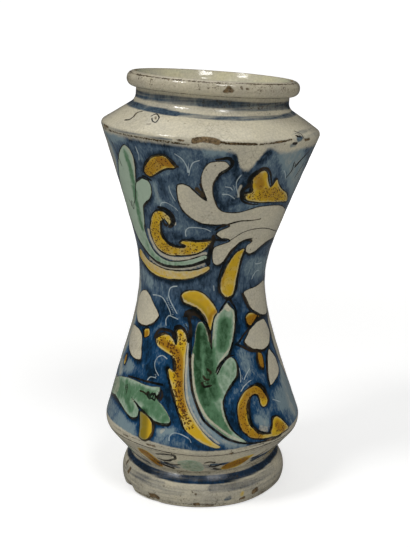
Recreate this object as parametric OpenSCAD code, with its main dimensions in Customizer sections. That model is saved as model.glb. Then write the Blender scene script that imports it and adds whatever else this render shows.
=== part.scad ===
// Albarello: a waisted drug jar of tin-glazed earthenware that stands on a turned foot.
// The foot, two thrown cones and the neck are luted together with slip, then glazed in and out,
// one half at a time, so each coat has a lower and an upper part that meet at the waist.
// All surfaces come from one turned profile, set in by a depth, so walls and coats keep their thickness.

/* [Foot] */
// Widest radius of the foot
foot_r = 48.5; // [47:0.5:54]
// Height of the foot, up to the groove under the body
foot_h = 20; // [16:0.5:26]
// Height of the foot's widest part
swell_h = 7; // [5:0.5:9]
// Radius of the hollow turned under the foot, at the table
hollow_r = 36; // [28:0.5:39]
// Depth of the hollow under the foot
hollow_depth = 10; // [4:0.5:11]
// How far the hollow's wall slopes in on its way up
hollow_draft = 3; // [0:0.5:6]
// Height of the bare clay edge that the foot stands on
bare_edge = 1.5; // [1:0.1:3]

/* [Body] */
// Radius at the groove between foot and body
groove_r = 42.6; // [39:0.2:45]
// Radius of the belly's corner before it is rounded
belly_r = 58.3; // [53:0.1:64]
// Height of the belly's corner above the groove
belly_rise = 19; // [15:0.5:26]
// Rounding of the belly
belly_round = 9; // [4:0.5:12]
// Radius at the waist
waist_r = 36.3; // [31:0.1:42]
// Height of the waist above the belly
waist_rise = 85; // [72:0.5:100]
// Radius of the hollow curve of the waist, seen from the side
waist_curve = 91; // [60:1:120]
// Lean of the upper half, in degrees
lean = 4; // [0:0.5:6]
// Radius of the shoulder's corner before it is rounded
shoulder_r = 62.1; // [57:0.1:66]
// Height of the shoulder's corner above the waist
shoulder_rise = 88; // [74:0.5:102]
// Rounding of the shoulder's edge
shoulder_round = 2.5; // [1:0.1:4]

/* [Neck] */
// Radius of the neck
neck_r = 43; // [38:0.2:49]
// Height that the shoulder climbs to the neck
slope_rise = 12.5; // [10:0.5:18]
// Rounding between shoulder and neck
neck_round = 6; // [3:0.5:7]
// Height of the neck
neck_h = 7; // [6.5:0.5:14]
// How far the lip stands out from the neck
lip_out = 5.5; // [5:0.1:8]
// Height of the lip
lip_h = 8.5; // [8.2:0.1:13]
// Rounding of the lip
lip_round = 4; // [3:0.1:4.2]
// Rounding under the lip
under_lip_round = 1; // [0.5:0.1:2]
// Height of the inner flare below the top
flare_h = 9; // [6:0.5:12]
// Rounding where the flare meets the throat
flare_round = 6; // [3:0.5:8]
// Width of the bare clay line round the mouth
bare_rim = 1; // [0.5:0.1:2]

/* [Walls] */
// Thickness of the clay wall
wall = 5.8; // [4.5:0.1:7]
// Thickness of the outer glaze
glaze = 0.6; // [0.4:0.1:1]
// Thickness of the glaze inside
lining = 0.5; // [0.4:0.1:1]
// Thickness of the slip in each luted seam
slip = 0.6; // [0.4:0.1:1]
// Rounding of the corners inside
inner_round = 4; // [2:0.5:6]

/* [Hidden] */
clay_colour = "#b58a63";
slip_colour = "#a67c57";
glaze_colour = "#dcd6c4";
lining_colour = "#d8d3bd";

// Degrees of turn that each short side of a rounded corner takes
corner_step = 6;
// Degrees of the waist's curve that each short side takes
waist_step = 2;
// Side of the blocks that cut the halves apart, beyond the whole jar
block = 4 * (waist_rise + shoulder_rise);

belly_z = foot_h + belly_rise;
waist_z = belly_z + waist_rise;
shoulder_z = waist_z + shoulder_rise;
neck_z = shoulder_z + slope_rise;
lip_z = neck_z + neck_h;
top_z = lip_z + lip_h;
// The neck is luted on above the hollow between neck and shoulder
joint_z = neck_z + neck_h / 2 + slip;
// Depth of the clay's inner face under the jar's surface
clay_depth = glaze + wall;
lip_r = neck_r + lip_out;
// The glaze stops where the lip's rounding ends, and the lining stops a bare line further in
crest_r = lip_r - lip_round;
mouth_r = crest_r - bare_rim;

// Geometry of paths: points are [radius, height], and a path climbs with the clay on its left

function unit(v) = v / norm(v);
function into(v) = [-v[1], v[0]];
function turn(u, v) = atan2(cross(u, v), u * v);
function meet(p, u, q, v) = p + u * cross(q - p, v) / cross(u, v);
function at_height(p, u, z) = p + u * (z - p[1]) / u[1];
function reversed(list) = [for (i = [len(list) - 1:-1:0]) list[i]];
function without_first(list) = [for (i = [1:1:len(list) - 1]) list[i]];

// Corner i of a path that is set in by a depth
function set_corner(path, i, depth) =
    let (
        last = len(path) - 1,
        before = unit(path[max(i, 1)] - path[max(i, 1) - 1]),
        after = unit(path[min(i, last - 1) + 1] - path[min(i, last - 1)])
    )
    i == 0 || i == last
        ? path[i] + depth * into(i == 0 ? after : before)
        : meet(path[i] + depth * into(before), before, path[i] + depth * into(after), after);

function set_in(path, depth) = [for (i = [0:len(path) - 1]) set_corner(path, i, depth)];

// A corner that juts out loses the depth from its rounding, and a hollow one gains it
function set_round(a, b, c, round, depth) =
    cross(b - a, c - b) > 0 ? max(0, round - depth) : round + depth;

function corner_points(a, b, c, round) =
    let (
        u = unit(a - b),
        v = unit(c - b),
        half = acos(u * v) / 2,
        centre = b + unit(u + v) * round / sin(half),
        first = b + u * round / tan(half) - centre,
        last = b + v * round / tan(half) - centre,
        sides = ceil(abs(turn(first, last)) / corner_step),
        start = atan2(first[1], first[0])
    )
    round == 0
        ? [b]
        : [for (k = [0:sides])
            let (angle = start + turn(first, last) * k / sides)
            centre + round * [cos(angle), sin(angle)]];

// The rounded corners of a path that is set in, without its two ends
function rounded(path, rounds, depth) =
    let (inner = set_in(path, depth))
    [for (i = [1:len(path) - 2])
        each corner_points(inner[i - 1], inner[i], inner[i + 1],
            set_round(path[i - 1], path[i], path[i + 1], rounds[i], depth))];

// The turned profile

// The foot swells in one arc through the groove
foot_reach = foot_h - swell_h;
foot_step_in = foot_r - groove_r;
foot_curve = (foot_reach * foot_reach + foot_step_in * foot_step_in) / (2 * foot_step_in);

// Both cones run tangent to the waist's curve
groove = [groove_r, foot_h];
belly = [belly_r, belly_z];
shoulder = [shoulder_r, shoulder_z];
neck_foot = [neck_r, neck_z];
under_lip = [neck_r, lip_z];
waist_centre = [waist_r + waist_curve, waist_z];

function tangent_angle(p, side) =
    let (way = waist_centre - p)
    atan2(way[1], way[0]) + side * asin(waist_curve / norm(way));

lower_angle = tangent_angle(belly, 1);
upper_angle = tangent_angle(shoulder, -1);
waist_corner = meet(belly, [cos(lower_angle), sin(lower_angle)],
    shoulder, [cos(upper_angle), sin(upper_angle)]);

function waist_point(depth, angle) =
    waist_centre + (waist_curve + depth) * [-cos(angle), sin(angle)];

// One half of the waist's curve, with one step past the waist so that the halves can be cut to meet
function waist_arc(depth, reach, side) =
    let (steps = ceil(reach / waist_step) - 1)
    [for (k = [-1:steps]) waist_point(depth, side * k * waist_step),
     waist_point(depth, side * reach)];

lower_path = [groove, belly, waist_corner];
upper_path = [waist_corner, shoulder, neck_foot, under_lip,
    [lip_r, lip_z], [lip_r, top_z], [crest_r, top_z]];
upper_rounds = [0, shoulder_round, neck_round, under_lip_round, lip_round, lip_round, 0];
throat_path = [waist_corner, shoulder, neck_foot, under_lip];

// The inner face of the clay, from the waist to the mouth
inner_path = let (inner = set_in(throat_path, clay_depth))
    [inner[0], inner[1], inner[2],
     [neck_r - clay_depth, top_z - flare_h],
     [mouth_r, top_z - glaze]];
inner_rounds = [0, inner_round, inner_round, flare_round, 0];

// The foot's surface at a depth, from its bare edge up to the lower cone's own line at the groove
function foot_face(depth) =
    let (
        inner = set_in(lower_path, depth),
        centre = [foot_r - foot_curve, swell_h],
        low = asin((bare_edge - swell_h) / (foot_curve - depth)),
        high = asin(foot_reach / (foot_curve - depth)),
        sides = ceil((high - low) / corner_step)
    )
    [for (k = [0:sides - 1])
        let (angle = low + (high - low) * k / sides)
        centre + (foot_curve - depth) * [cos(angle), sin(angle)],
     at_height(inner[0], inner[1] - inner[0], foot_h)];

// The lower cone's surface at a depth, from a height up to just past the waist
function lower_face(depth, round, from) =
    let (inner = set_in(lower_path, depth))
    concat([at_height(inner[0], inner[1] - inner[0], from)],
        corner_points(inner[0], inner[1], inner[2], round),
        reversed(waist_arc(depth, lower_angle - 90, -1)));

function lower_outside(depth, from) = lower_face(depth, max(0, belly_round - depth), from);
function lower_inside(depth, from) =
    lower_face(clay_depth + depth, inner_round - depth, from);

// The upper cone's surface at a depth, from just below the waist to the lip or to the mouth
function upper_outside(depth) = concat(waist_arc(depth, -90 - upper_angle, 1),
    rounded(upper_path, upper_rounds, depth), [set_corner(upper_path, len(upper_path) - 1, depth)]);
function upper_inside(depth) = concat(waist_arc(clay_depth + depth, -90 - upper_angle, 1),
    rounded(inner_path, inner_rounds, depth), [set_corner(inner_path, len(inner_path) - 1, depth)]);

// Placing and cutting

// The frame of the upper half, which leans about the middle of the waist
module at_lean(share = 1) {
    translate([0, 0, waist_z]) rotate([0, share * lean, 0]) translate([0, 0, -waist_z]) children();
}

// The space below or above the plane that halves the lean, moved up by a rise
module below_waist(rise = 0) {
    at_lean(0.5) translate([-block / 2, -block / 2, waist_z + rise - block]) cube(block);
}
module above_waist(rise = 0) {
    at_lean(0.5) translate([-block / 2, -block / 2, waist_z + rise]) cube(block);
}

// The space below or above a level plane
module below(z) {
    translate([-block / 2, -block / 2, z - block]) cube(block);
}
module above(z) {
    translate([-block / 2, -block / 2, z]) cube(block);
}

module turned(outside, inside) {
    rotate_extrude($fn = 180) polygon(concat(outside, reversed(inside)));
}

module lower_clay(from) {
    turned(lower_outside(glaze, from), lower_inside(0, from));
}
module upper_clay() {
    turned(upper_outside(glaze), upper_inside(0));
}

// The sub-parts

module foot() {
    side = foot_face(glaze);
    edge = [side[0][0] - bare_edge / 2, 0];
    hollow = [hollow_r, 0];
    color(clay_colour) turned(
        concat([hollow], corner_points(hollow, edge, side[0], bare_edge / 2), side),
        [[hollow_r - hollow_draft, hollow_depth], [0, hollow_depth], [0, foot_h]]);
}

module foot_seam() {
    color(slip_colour) intersection() {
        lower_clay(foot_h);
        below(foot_h + slip);
    }
}

module lower_body() {
    color(clay_colour) intersection() {
        lower_clay(foot_h + slip);
        below_waist(-slip);
    }
}

module waist_seam() {
    color(slip_colour) intersection() {
        lower_clay(foot_h + slip);
        below_waist();
        above_waist(-slip);
    }
}

module upper_body() {
    color(clay_colour) intersection() {
        at_lean() intersection() {
            upper_clay();
            below(joint_z - slip);
        }
        above_waist();
    }
}

module neck_seam() {
    color(slip_colour) at_lean() intersection() {
        upper_clay();
        below(joint_z);
        above(joint_z - slip);
    }
}

module neck() {
    color(clay_colour) at_lean() intersection() {
        upper_clay();
        above(joint_z);
    }
}

module lower_glaze() {
    color(glaze_colour) intersection() {
        turned(concat(foot_face(0), without_first(lower_outside(0, foot_h))),
            concat(foot_face(glaze), without_first(lower_outside(glaze, foot_h))));
        below_waist();
    }
}

module upper_glaze() {
    color(glaze_colour) intersection() {
        at_lean() turned(upper_outside(0), upper_outside(glaze));
        above_waist();
    }
}

module lower_lining() {
    floor_z = foot_h + lining;
    color(lining_colour) intersection() {
        turned(concat([[0, foot_h]], lower_inside(0, foot_h)),
            concat([[0, floor_z]], lower_inside(lining, floor_z)));
        below_waist();
    }
}

module upper_lining() {
    color(lining_colour) intersection() {
        at_lean() turned(upper_inside(0), upper_inside(lining));
        above_waist();
    }
}

foot();
foot_seam();
lower_body();
waist_seam();
upper_body();
neck_seam();
neck();
lower_glaze();
upper_glaze();
lower_lining();
upper_lining();
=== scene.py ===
"""Albarello: a waisted drug jar of painted tin-glazed earthenware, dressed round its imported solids.

Clay, slip, glaze and lining are turned from one profile, then settled by the potter's hand and by wear.
The painting is set out by angle and height: angles are degrees round the jar from the painted front,
positive to the viewer's right, and heights are millimetres up the straight jar, before it leans.
The back repeats the front as in a mirror, so the scrolls join at both sides.
"""

import math
from functools import reduce
from types import SimpleNamespace

import bpy
import numpy as np
from bpy.props import FloatProperty, FloatVectorProperty, IntProperty, PointerProperty
from mathutils import Matrix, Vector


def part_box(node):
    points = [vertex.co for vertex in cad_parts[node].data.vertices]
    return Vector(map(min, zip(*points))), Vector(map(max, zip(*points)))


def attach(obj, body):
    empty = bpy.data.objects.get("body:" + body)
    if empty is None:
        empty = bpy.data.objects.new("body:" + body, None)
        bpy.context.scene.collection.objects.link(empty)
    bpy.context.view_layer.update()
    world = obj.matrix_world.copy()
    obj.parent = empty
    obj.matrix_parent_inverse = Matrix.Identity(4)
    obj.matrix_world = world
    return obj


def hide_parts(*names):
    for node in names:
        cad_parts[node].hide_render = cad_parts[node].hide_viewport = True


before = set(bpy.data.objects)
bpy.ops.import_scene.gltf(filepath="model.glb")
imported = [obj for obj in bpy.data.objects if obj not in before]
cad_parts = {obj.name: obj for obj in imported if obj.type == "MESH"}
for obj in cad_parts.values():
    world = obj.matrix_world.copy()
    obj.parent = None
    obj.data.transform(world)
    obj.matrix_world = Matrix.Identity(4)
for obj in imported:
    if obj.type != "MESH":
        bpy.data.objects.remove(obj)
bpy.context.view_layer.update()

bl_info = {
    "name": "Albarello",
    "version": (1, 0, 0),
    "blender": (4, 5, 0),
    "location": "3D View > Sidebar > Albarello",
    "description": "Turns, glazes and paints a waisted drug jar round its packed solids",
    "category": "Object",
}

MM = 0.001
BODY = "root"
# The map to bake the painting through
BAKE_MAP = "OFBake"


# Settings that a user would change


def length(name, description, millimetres):
    return FloatProperty(name=name, description=description, default=millimetres * MM,
                         unit="LENGTH", precision=4)


def angle(name, description, degrees):
    return FloatProperty(name=name, description=description, default=math.radians(degrees),
                         subtype="ANGLE")


def number(name, description, default):
    return FloatProperty(name=name, description=description, default=default)


def colour(name, description, default):
    return FloatVectorProperty(name=name, description=description, default=default,
                               subtype="COLOR", min=0, max=1)


class AlbarelloShape(bpy.types.PropertyGroup):
    """Sizes of the turned profile"""

    foot_radius: length("Foot radius", "Widest radius of the foot", 48.5)
    foot_height: length("Foot height", "Height of the foot up to the groove", 20)
    swell_height: length("Swell height", "Height of the foot's widest part", 7)
    hollow_radius: length("Hollow radius", "Radius of the hollow under the foot", 36)
    hollow_depth: length("Hollow depth", "Depth of the hollow under the foot", 10)
    hollow_draft: length("Hollow draft", "How far the hollow's wall slopes in", 3)
    bare_edge: length("Bare edge", "Height of the bare clay edge of the foot", 0.9)
    groove_radius: length("Groove radius", "Radius between foot and body", 42.6)
    belly_radius: length("Belly radius", "Radius of the belly's corner", 58.3)
    belly_height: length("Belly height", "Height of the belly's corner", 39)
    belly_round: length("Belly rounding", "Rounding of the belly", 9)
    waist_radius: length("Waist radius", "Radius at the waist", 36.3)
    waist_height: length("Waist height", "Height of the waist", 124)
    waist_curve: length("Waist curve", "Radius of the waist's hollow curve", 91)
    shoulder_radius: length("Shoulder radius", "Radius of the shoulder's corner", 62.1)
    shoulder_height: length("Shoulder height", "Height of the shoulder's corner", 212)
    shoulder_round: length("Shoulder rounding", "Rounding of the shoulder's edge", 2.5)
    neck_radius: length("Neck radius", "Radius of the neck", 43)
    neck_height: length("Neck height", "Height at which the slope meets the neck", 224.5)
    neck_round: length("Neck rounding", "Rounding between shoulder and neck", 6)
    lip_height: length("Lip height", "Height of the lip's underside", 231.5)
    lip_radius: length("Lip radius", "Widest radius of the lip", 48.5)
    lip_round: length("Lip rounding", "Rounding of the lip", 4)
    under_lip_round: length("Under-lip rounding", "Rounding under the lip", 1)
    top_height: length("Top height", "Height of the lip's crest", 240)
    bare_rim: length("Bare rim", "Width of the bare clay line round the mouth", 1)
    flare_height: length("Flare height", "Height of the inner flare below the top", 12.5)
    flare_round: length("Flare rounding", "Rounding where the flare meets the throat", 6)
    inner_round: length("Inner rounding", "Rounding of the corners inside", 4)
    wall: length("Wall", "Thickness of the clay wall", 5.8)
    glaze: length("Glaze", "Thickness of the outer glaze", 0.6)
    lining: length("Lining", "Thickness of the glaze inside", 0.5)
    slip: length("Slip", "Thickness of the slip in each seam", 0.6)
    coat_step: length("Coat step", "Distance between the rows of the painted coat", 0.86)
    clay_step: length("Clay step", "Distance between the rows of hidden faces", 5)
    coat_sides: IntProperty(name="Coat sides", description="Sides round the painted coat", default=420)
    clay_sides: IntProperty(name="Clay sides", description="Sides round clay and lining", default=240)


class AlbarelloHand(bpy.types.PropertyGroup):
    """How far the jar strays from the turned profile"""

    lean: angle("Lean", "Lean of the upper half", 4)
    bend_reach: length("Bend reach", "How far above and below the waist the lean sets in", 14)
    body_lean: angle("Body lean", "Lean of the body on its foot", 0.3)
    lip_tilt: angle("Lip tilt", "Further tilt of the neck and lip to the right", 0.68)
    lip_nod: angle("Lip nod", "Tilt of the neck and lip to the back", 1.2)
    belly_tilt: angle("Belly tilt", "Tilt of the belly's ridge", 0.9)
    waist_sway: length("Waist sway", "Sideways drift of the axis at the waist", 0.4)
    belly_sway: length("Belly sway", "Sideways drift of the axis above the belly", -0.6)
    fullness: length("Fullness", "How much fuller the cones are just above and below the waist", 0.45)
    wobble: length("Wobble", "Unevenness of the thrown wall", 0.14)
    chip_depth: length("Chip depth", "Depth of the glaze chips", 0.45)


class AlbarelloPaint(bpy.types.PropertyGroup):
    """Colours of glaze, paint and clay"""

    cream: colour("Cream", "Tin glaze", (0.60, 0.55, 0.41))
    cream_grey: colour("Grey cream", "Tin glaze where it is thin", (0.50, 0.465, 0.37))
    lining: colour("Lining", "Tin glaze inside", (0.60, 0.555, 0.37))
    blue_deep: colour("Deep blue", "Blue ground where it pools", (0.003, 0.014, 0.028))
    blue: colour("Blue", "Blue ground", (0.010, 0.056, 0.135))
    slate: colour("Slate blue", "Blue ground of the upper half", (0.056, 0.094, 0.142))
    blue_pale: colour("Pale blue", "Blue ground where it is thin", (0.19, 0.26, 0.285))
    green_deep: colour("Deep green", "Green where it pools", (0.014, 0.045, 0.016))
    green: colour("Green", "Green of the leaves", (0.098, 0.205, 0.110))
    green_pale: colour("Pale green", "Green where it is thin", (0.37, 0.465, 0.355))
    yellow: colour("Yellow", "Yellow of the leaves", (0.58, 0.365, 0.018))
    yellow_pale: colour("Pale yellow", "Yellow where it is thin", (0.58, 0.47, 0.19))
    ochre: colour("Ochre", "Orange-brown wash on the yellow", (0.33, 0.155, 0.012))
    stipple: colour("Stipple", "Brown dots on the yellow", (0.085, 0.032, 0.009))
    ink: colour("Ink", "Dark brush line", (0.003, 0.004, 0.003))
    ink_brown: colour("Brown ink", "Brush line where it is thin", (0.030, 0.020, 0.011))
    scratch: colour("Scratch", "Line scratched through the blue", (0.42, 0.49, 0.50))
    clay: colour("Clay", "Bare fired clay", (0.19, 0.125, 0.055))
    # Dark clay also colours the painted shade under the lip, in the groove and under the ridge
    dark_clay_and_shade: colour("Dark clay", "Stained clay", (0.055, 0.036, 0.016))
    slip: colour("Slip", "Fired slip in the seams", (0.27, 0.18, 0.085))


class AlbarelloStudio(bpy.types.PropertyGroup):
    """Camera, floor and lights"""

    camera_distance: length("Camera distance", "Distance of the camera in front of the axis", 668.8)
    camera_height: length("Camera height", "Height of the camera", 294.3)
    camera_pitch: angle("Camera pitch", "How far the camera looks down", 14.16)
    camera_yaw: angle("Camera yaw", "How far the camera looks to the right", 0.24)
    camera_roll: angle("Camera roll", "Roll of the camera", -0.76)
    camera_lens: number("Camera lens", "Focal length in millimetres on a 36 mm frame", 78.09)
    floor_colour: colour("Floor", "Colour of the floor", (0.66, 0.66, 0.65))
    floor_lift: number("Floor lift", "Light that the floor shows to the camera alone, beside the jar", 0.53)
    far_lift: number("Far lift", "Light that the floor shows to the camera alone, far from the jar", 1.0)
    room_light: number("Room light", "Strength of the even light round the jar", 0.05)
    left_lamp: number("Left lamp", "Watts of the lamp at the left", 11.0)
    right_lamp: number("Right lamp", "Watts of the lamp at the right", 10.5)
    left_panel: number("Left panel", "Watts of the soft panel at the left", 2.2)
    right_panel: number("Right panel", "Watts of the soft panel at the right", 2.3)
    front_fill: number("Front fill", "Watts of the soft light in front", 3.5)
    top_panel: number("Top panel", "Watts of the soft panel overhead", 6.5)


def sizes(group):
    """A group's lengths in millimetres, and its other values as they are."""
    values = {}
    for name, prop in group.bl_rna.properties.items():
        if prop.type in {"FLOAT", "INT"} and not prop.is_readonly:
            value = getattr(group, name)
            values[name] = value / MM if prop.unit == "LENGTH" else value
    return SimpleNamespace(**values)


# The painting: leaves, brush lines, scratched lines and washes, as (angle, height) points

# A leaf has a fill, the half-width of its brush line in millimetres, what the line gains on its heavy
# side, the side that is heavy (0 right, 90 up), and its outline. A half-width of -1 leaves the line out
LOWER_LEAVES = (
    # Yellow crescent at the waist
    ("yellow", 0.35, 0.35, 250, [
        (-19, 122), (-16, 124), (-11, 125), (-4.5, 125), (1, 123.5), (6, 120.5), (10.5, 117), (13, 113.5),
        (13, 112), (10.5, 110), (9, 106), (8, 102.5), (7, 98.5), (6, 102.5), (4.5, 106), (2, 110),
        (-2, 113), (-6, 115), (-11.5, 116.5), (-16, 117.5), (-18.5, 120)]),
    # Large green leaf with three lobes
    ("green", 0.06, 0.48, 340, [
        (0.5, 107.5), (-3, 107), (-4.8, 102.5), (-5.2, 97), (-6.5, 92), (-7.3, 87), (-6.7, 80),
        (-5.2, 71.5), (-2.7, 64.5), (1.4, 56.8), (7, 51.3), (14.3, 45.8), (21.5, 42.6), (26.5, 41),
        (22, 45), (18, 49), (15.5, 54), (14, 59.5), (14, 65), (17, 69.5), (21.5, 73.5), (25.5, 77),
        (27, 81.5), (26, 85.5), (22.5, 87.5), (18, 86), (14, 83.5), (10.5, 80), (12.5, 83.5), (17, 86.5),
        (21.5, 89.5), (24.5, 94), (27, 99), (29.5, 106), (29.5, 112), (25.5, 115), (22, 117.5),
        (17.5, 113.5), (13, 111.5), (10, 107.5), (9, 102), (8, 94), (6.5, 98), (5.5, 101.5), (3.5, 105)]),
    # Long forked leaf, dotted, with a plain yellow tail
    ("yellow", 0.1, 0.75, 150, [
        (-39, 96.5), (-36, 98.5), (-31.5, 100), (-27, 99.5), (-23, 97.5), (-20.5, 95), (-20, 99),
        (-21.5, 102), (-19.5, 103.5), (-15.5, 103), (-12.5, 100.5), (-11, 96.5), (-11.5, 90.5),
        (-11.5, 84.5), (-11.5, 77), (-11, 70), (-9.5, 64.5), (-7, 59.5), (-3.3, 54), (0.3, 49.3), (4.5, 45),
        (8.5, 42), (10.5, 40.7), (7.5, 40.2), (3, 41.8), (-1.5, 44), (-6.5, 47.3), (-10.7, 50.5),
        (-13, 55.5), (-16.5, 63), (-19.5, 70), (-22.5, 75.5), (-24.5, 80.5), (-23.5, 82), (-19.5, 81),
        (-20, 85.5), (-23, 88.5), (-29, 90.5), (-34, 92), (-37, 93.5)]),
    # White petals at the left
    ("white", 0.22, 0.28, 320, [
        (-39, 109), (-42.5, 112), (-47.5, 115), (-53, 118), (-59.5, 120), (-65.5, 119.5), (-72, 117.5),
        (-76.5, 113), (-77, 107.5), (-72, 104), (-66.5, 101.5), (-59.5, 101), (-52, 101.5), (-45.5, 103.5),
        (-41.5, 106)]),
    ("white", 0.22, 0.22, 320, [
        (-75, 98.5), (-67, 98.5), (-60.5, 98), (-55.5, 96), (-53, 92.5), (-51.5, 88.5), (-49.5, 84),
        (-50.5, 82.5), (-55.5, 82), (-62, 82.5), (-67.5, 84), (-72.5, 86.5), (-76, 90), (-76.5, 95)]),
    ("white", 0.26, 0.1, 0, [
        (-90, 129), (-86, 122), (-81.5, 112), (-79.5, 102), (-82, 92), (-86, 84), (-90, 77), (-94, 84),
        (-98, 92), (-100.5, 102), (-98.5, 112), (-94, 122)]),
    ("yellow", 0.3, 0.3, 180, [
        (-54.5, 99), (-50.5, 100.5), (-47.5, 100.5), (-46, 97.5), (-48, 96), (-52, 95)]),
    ("yellow", 0.3, 0.2, 0, [
        (-73, 80.5), (-70.5, 82), (-68.5, 79.5), (-69, 76), (-71.5, 75.5), (-73, 77.5)]),
    # Green leaf at the lower left, which runs round the side, and its yellow stem
    ("green", 0.1, 0.55, 300, [
        (-102, 64), (-82, 65), (-73, 68), (-60, 70.5), (-50, 71), (-40.5, 70.5), (-34.5, 70.5), (-28.5, 71),
        (-28, 68.5), (-29.5, 64.5), (-25, 61.5), (-21, 57.5), (-19, 54), (-20, 52), (-24, 51.5),
        (-28.5, 52), (-32, 53.5), (-36.5, 55.5), (-41, 57.5), (-45.5, 59.5), (-50.5, 61), (-45, 58.5),
        (-42, 56), (-42, 53), (-43.5, 51.5), (-47, 50.5), (-51, 51.5), (-56.5, 53.5), (-63, 55.5),
        (-72, 56.5), (-82, 54.5), (-102, 54)]),
    ("yellow", 0.3, 0.35, 330, [
        (-41, 56), (-37, 55.5), (-33.5, 54), (-30.5, 51.5), (-29.5, 47.5), (-31, 43.5), (-34.5, 41),
        (-38.5, 42), (-39, 46), (-39.5, 49), (-40.5, 53)]),
    # White petals at the right, with the yellow between them
    ("white", 0.24, 0.25, 210, [
        (39, 122), (45, 123.5), (56, 124), (75, 125), (84, 117.5), (85, 108), (74, 104), (65, 104.5),
        (55.5, 107.5), (49, 110.5), (45, 113.5), (42, 117.5)]),
    ("white", 0.26, 0.4, 215, [
        (48, 101.5), (54, 103), (64, 103), (69, 100), (72, 94.5), (69, 91), (64, 88), (55, 87), (48, 88),
        (42, 89.5), (37, 92.5), (35.5, 94.5), (39, 97), (43, 100)]),
    ("white", 0.24, 0.22, 200, [
        (62.5, 86), (66, 83.5), (70, 79), (70.5, 73.5), (67, 70.5), (61, 69), (54.5, 67.5), (52.5, 68),
        (53, 72.5), (55, 78), (57.5, 82.5)]),
    ("white", 0.2, 0.05, 180, [
        (90, 127), (87.5, 117), (84, 108), (76.5, 101.5), (74, 92), (75.5, 81), (80, 71), (86, 64.5),
        (90, 62), (94, 64.5), (100, 71), (104.5, 81), (106, 92), (103.5, 101.5), (96, 108), (92.5, 117)]),
    ("yellow", 0.35, 0.45, 260, [
        (40, 107.5), (44, 109.5), (48.5, 109), (53, 107.5), (62, 104.5), (54, 104.5), (49, 103),
        (44, 101.5), (41, 103), (40, 105.5)]),
    ("yellow", 0.35, 0.35, 200, [
        (47.5, 87), (51.5, 85.5), (52, 82), (50.5, 77.5), (47, 78.5), (45.5, 82), (46, 85)]),
    # Yellow curl at the lower right, and the patch behind it
    ("yellow", 0.4, 0.45, 20, [
        (41, 58), (39.5, 60), (39.5, 62.5), (38.5, 65), (35, 65.5), (32, 63.5), (30, 59.5), (29.5, 55),
        (30, 50.5), (32, 48), (34.5, 45.5), (39, 44), (44.5, 43), (45, 41), (39, 41), (33.5, 42),
        (28.5, 43.5), (25.5, 46), (23, 49), (22, 53), (22, 58), (23, 62.5), (26.5, 66.5), (30.5, 69),
        (36, 70.5), (40, 70.5), (44, 68.5), (46.5, 64.5), (47, 60.5), (44, 58)]),
    ("yellow", 0.3, 0.4, 150, [
        (47, 50.5), (51, 51), (55, 48), (58.5, 44), (60.5, 41), (54.5, 40.5), (48, 40), (43, 41),
        (42.5, 44), (45, 47)]),
    # Sprigs on the collar under the belly, drawn without lines
    ("yellow", -1, 0, 0, [
        (-43, 34), (-37, 34), (-33, 30.5), (-30.5, 25.5), (-31.5, 21.2), (-36, 21.5), (-41, 25),
        (-45, 29)]),
    ("yellow", -1, 0, 0, [
        (12, 21.5), (15.5, 25.5), (21, 29), (29, 31), (35, 30.5), (32, 26), (27, 22), (19, 20.7)]),
    ("green", -1, 0, 0, [
        (-17, 28.5), (-8, 31), (-1.5, 29), (1, 23.5), (-2, 20.8), (-9, 20.8), (-15, 23)]),
    ("green", -1, 0, 0, [
        (-74, 30), (-66, 31.5), (-58, 30), (-55, 27), (-60, 24.5), (-68, 24), (-73, 26)]),
    ("yellow", -1, 0, 0, [(52, 24), (58, 27.5), (66, 30), (74, 31), (70, 28), (63, 25), (56, 23)]),
    # Spot of yellow on the foot
    ("yellow", -1, 0, 0, [(25.5, 6), (27, 8), (29, 7.5), (28.5, 5.5), (27, 4.5)]),
)

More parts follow.
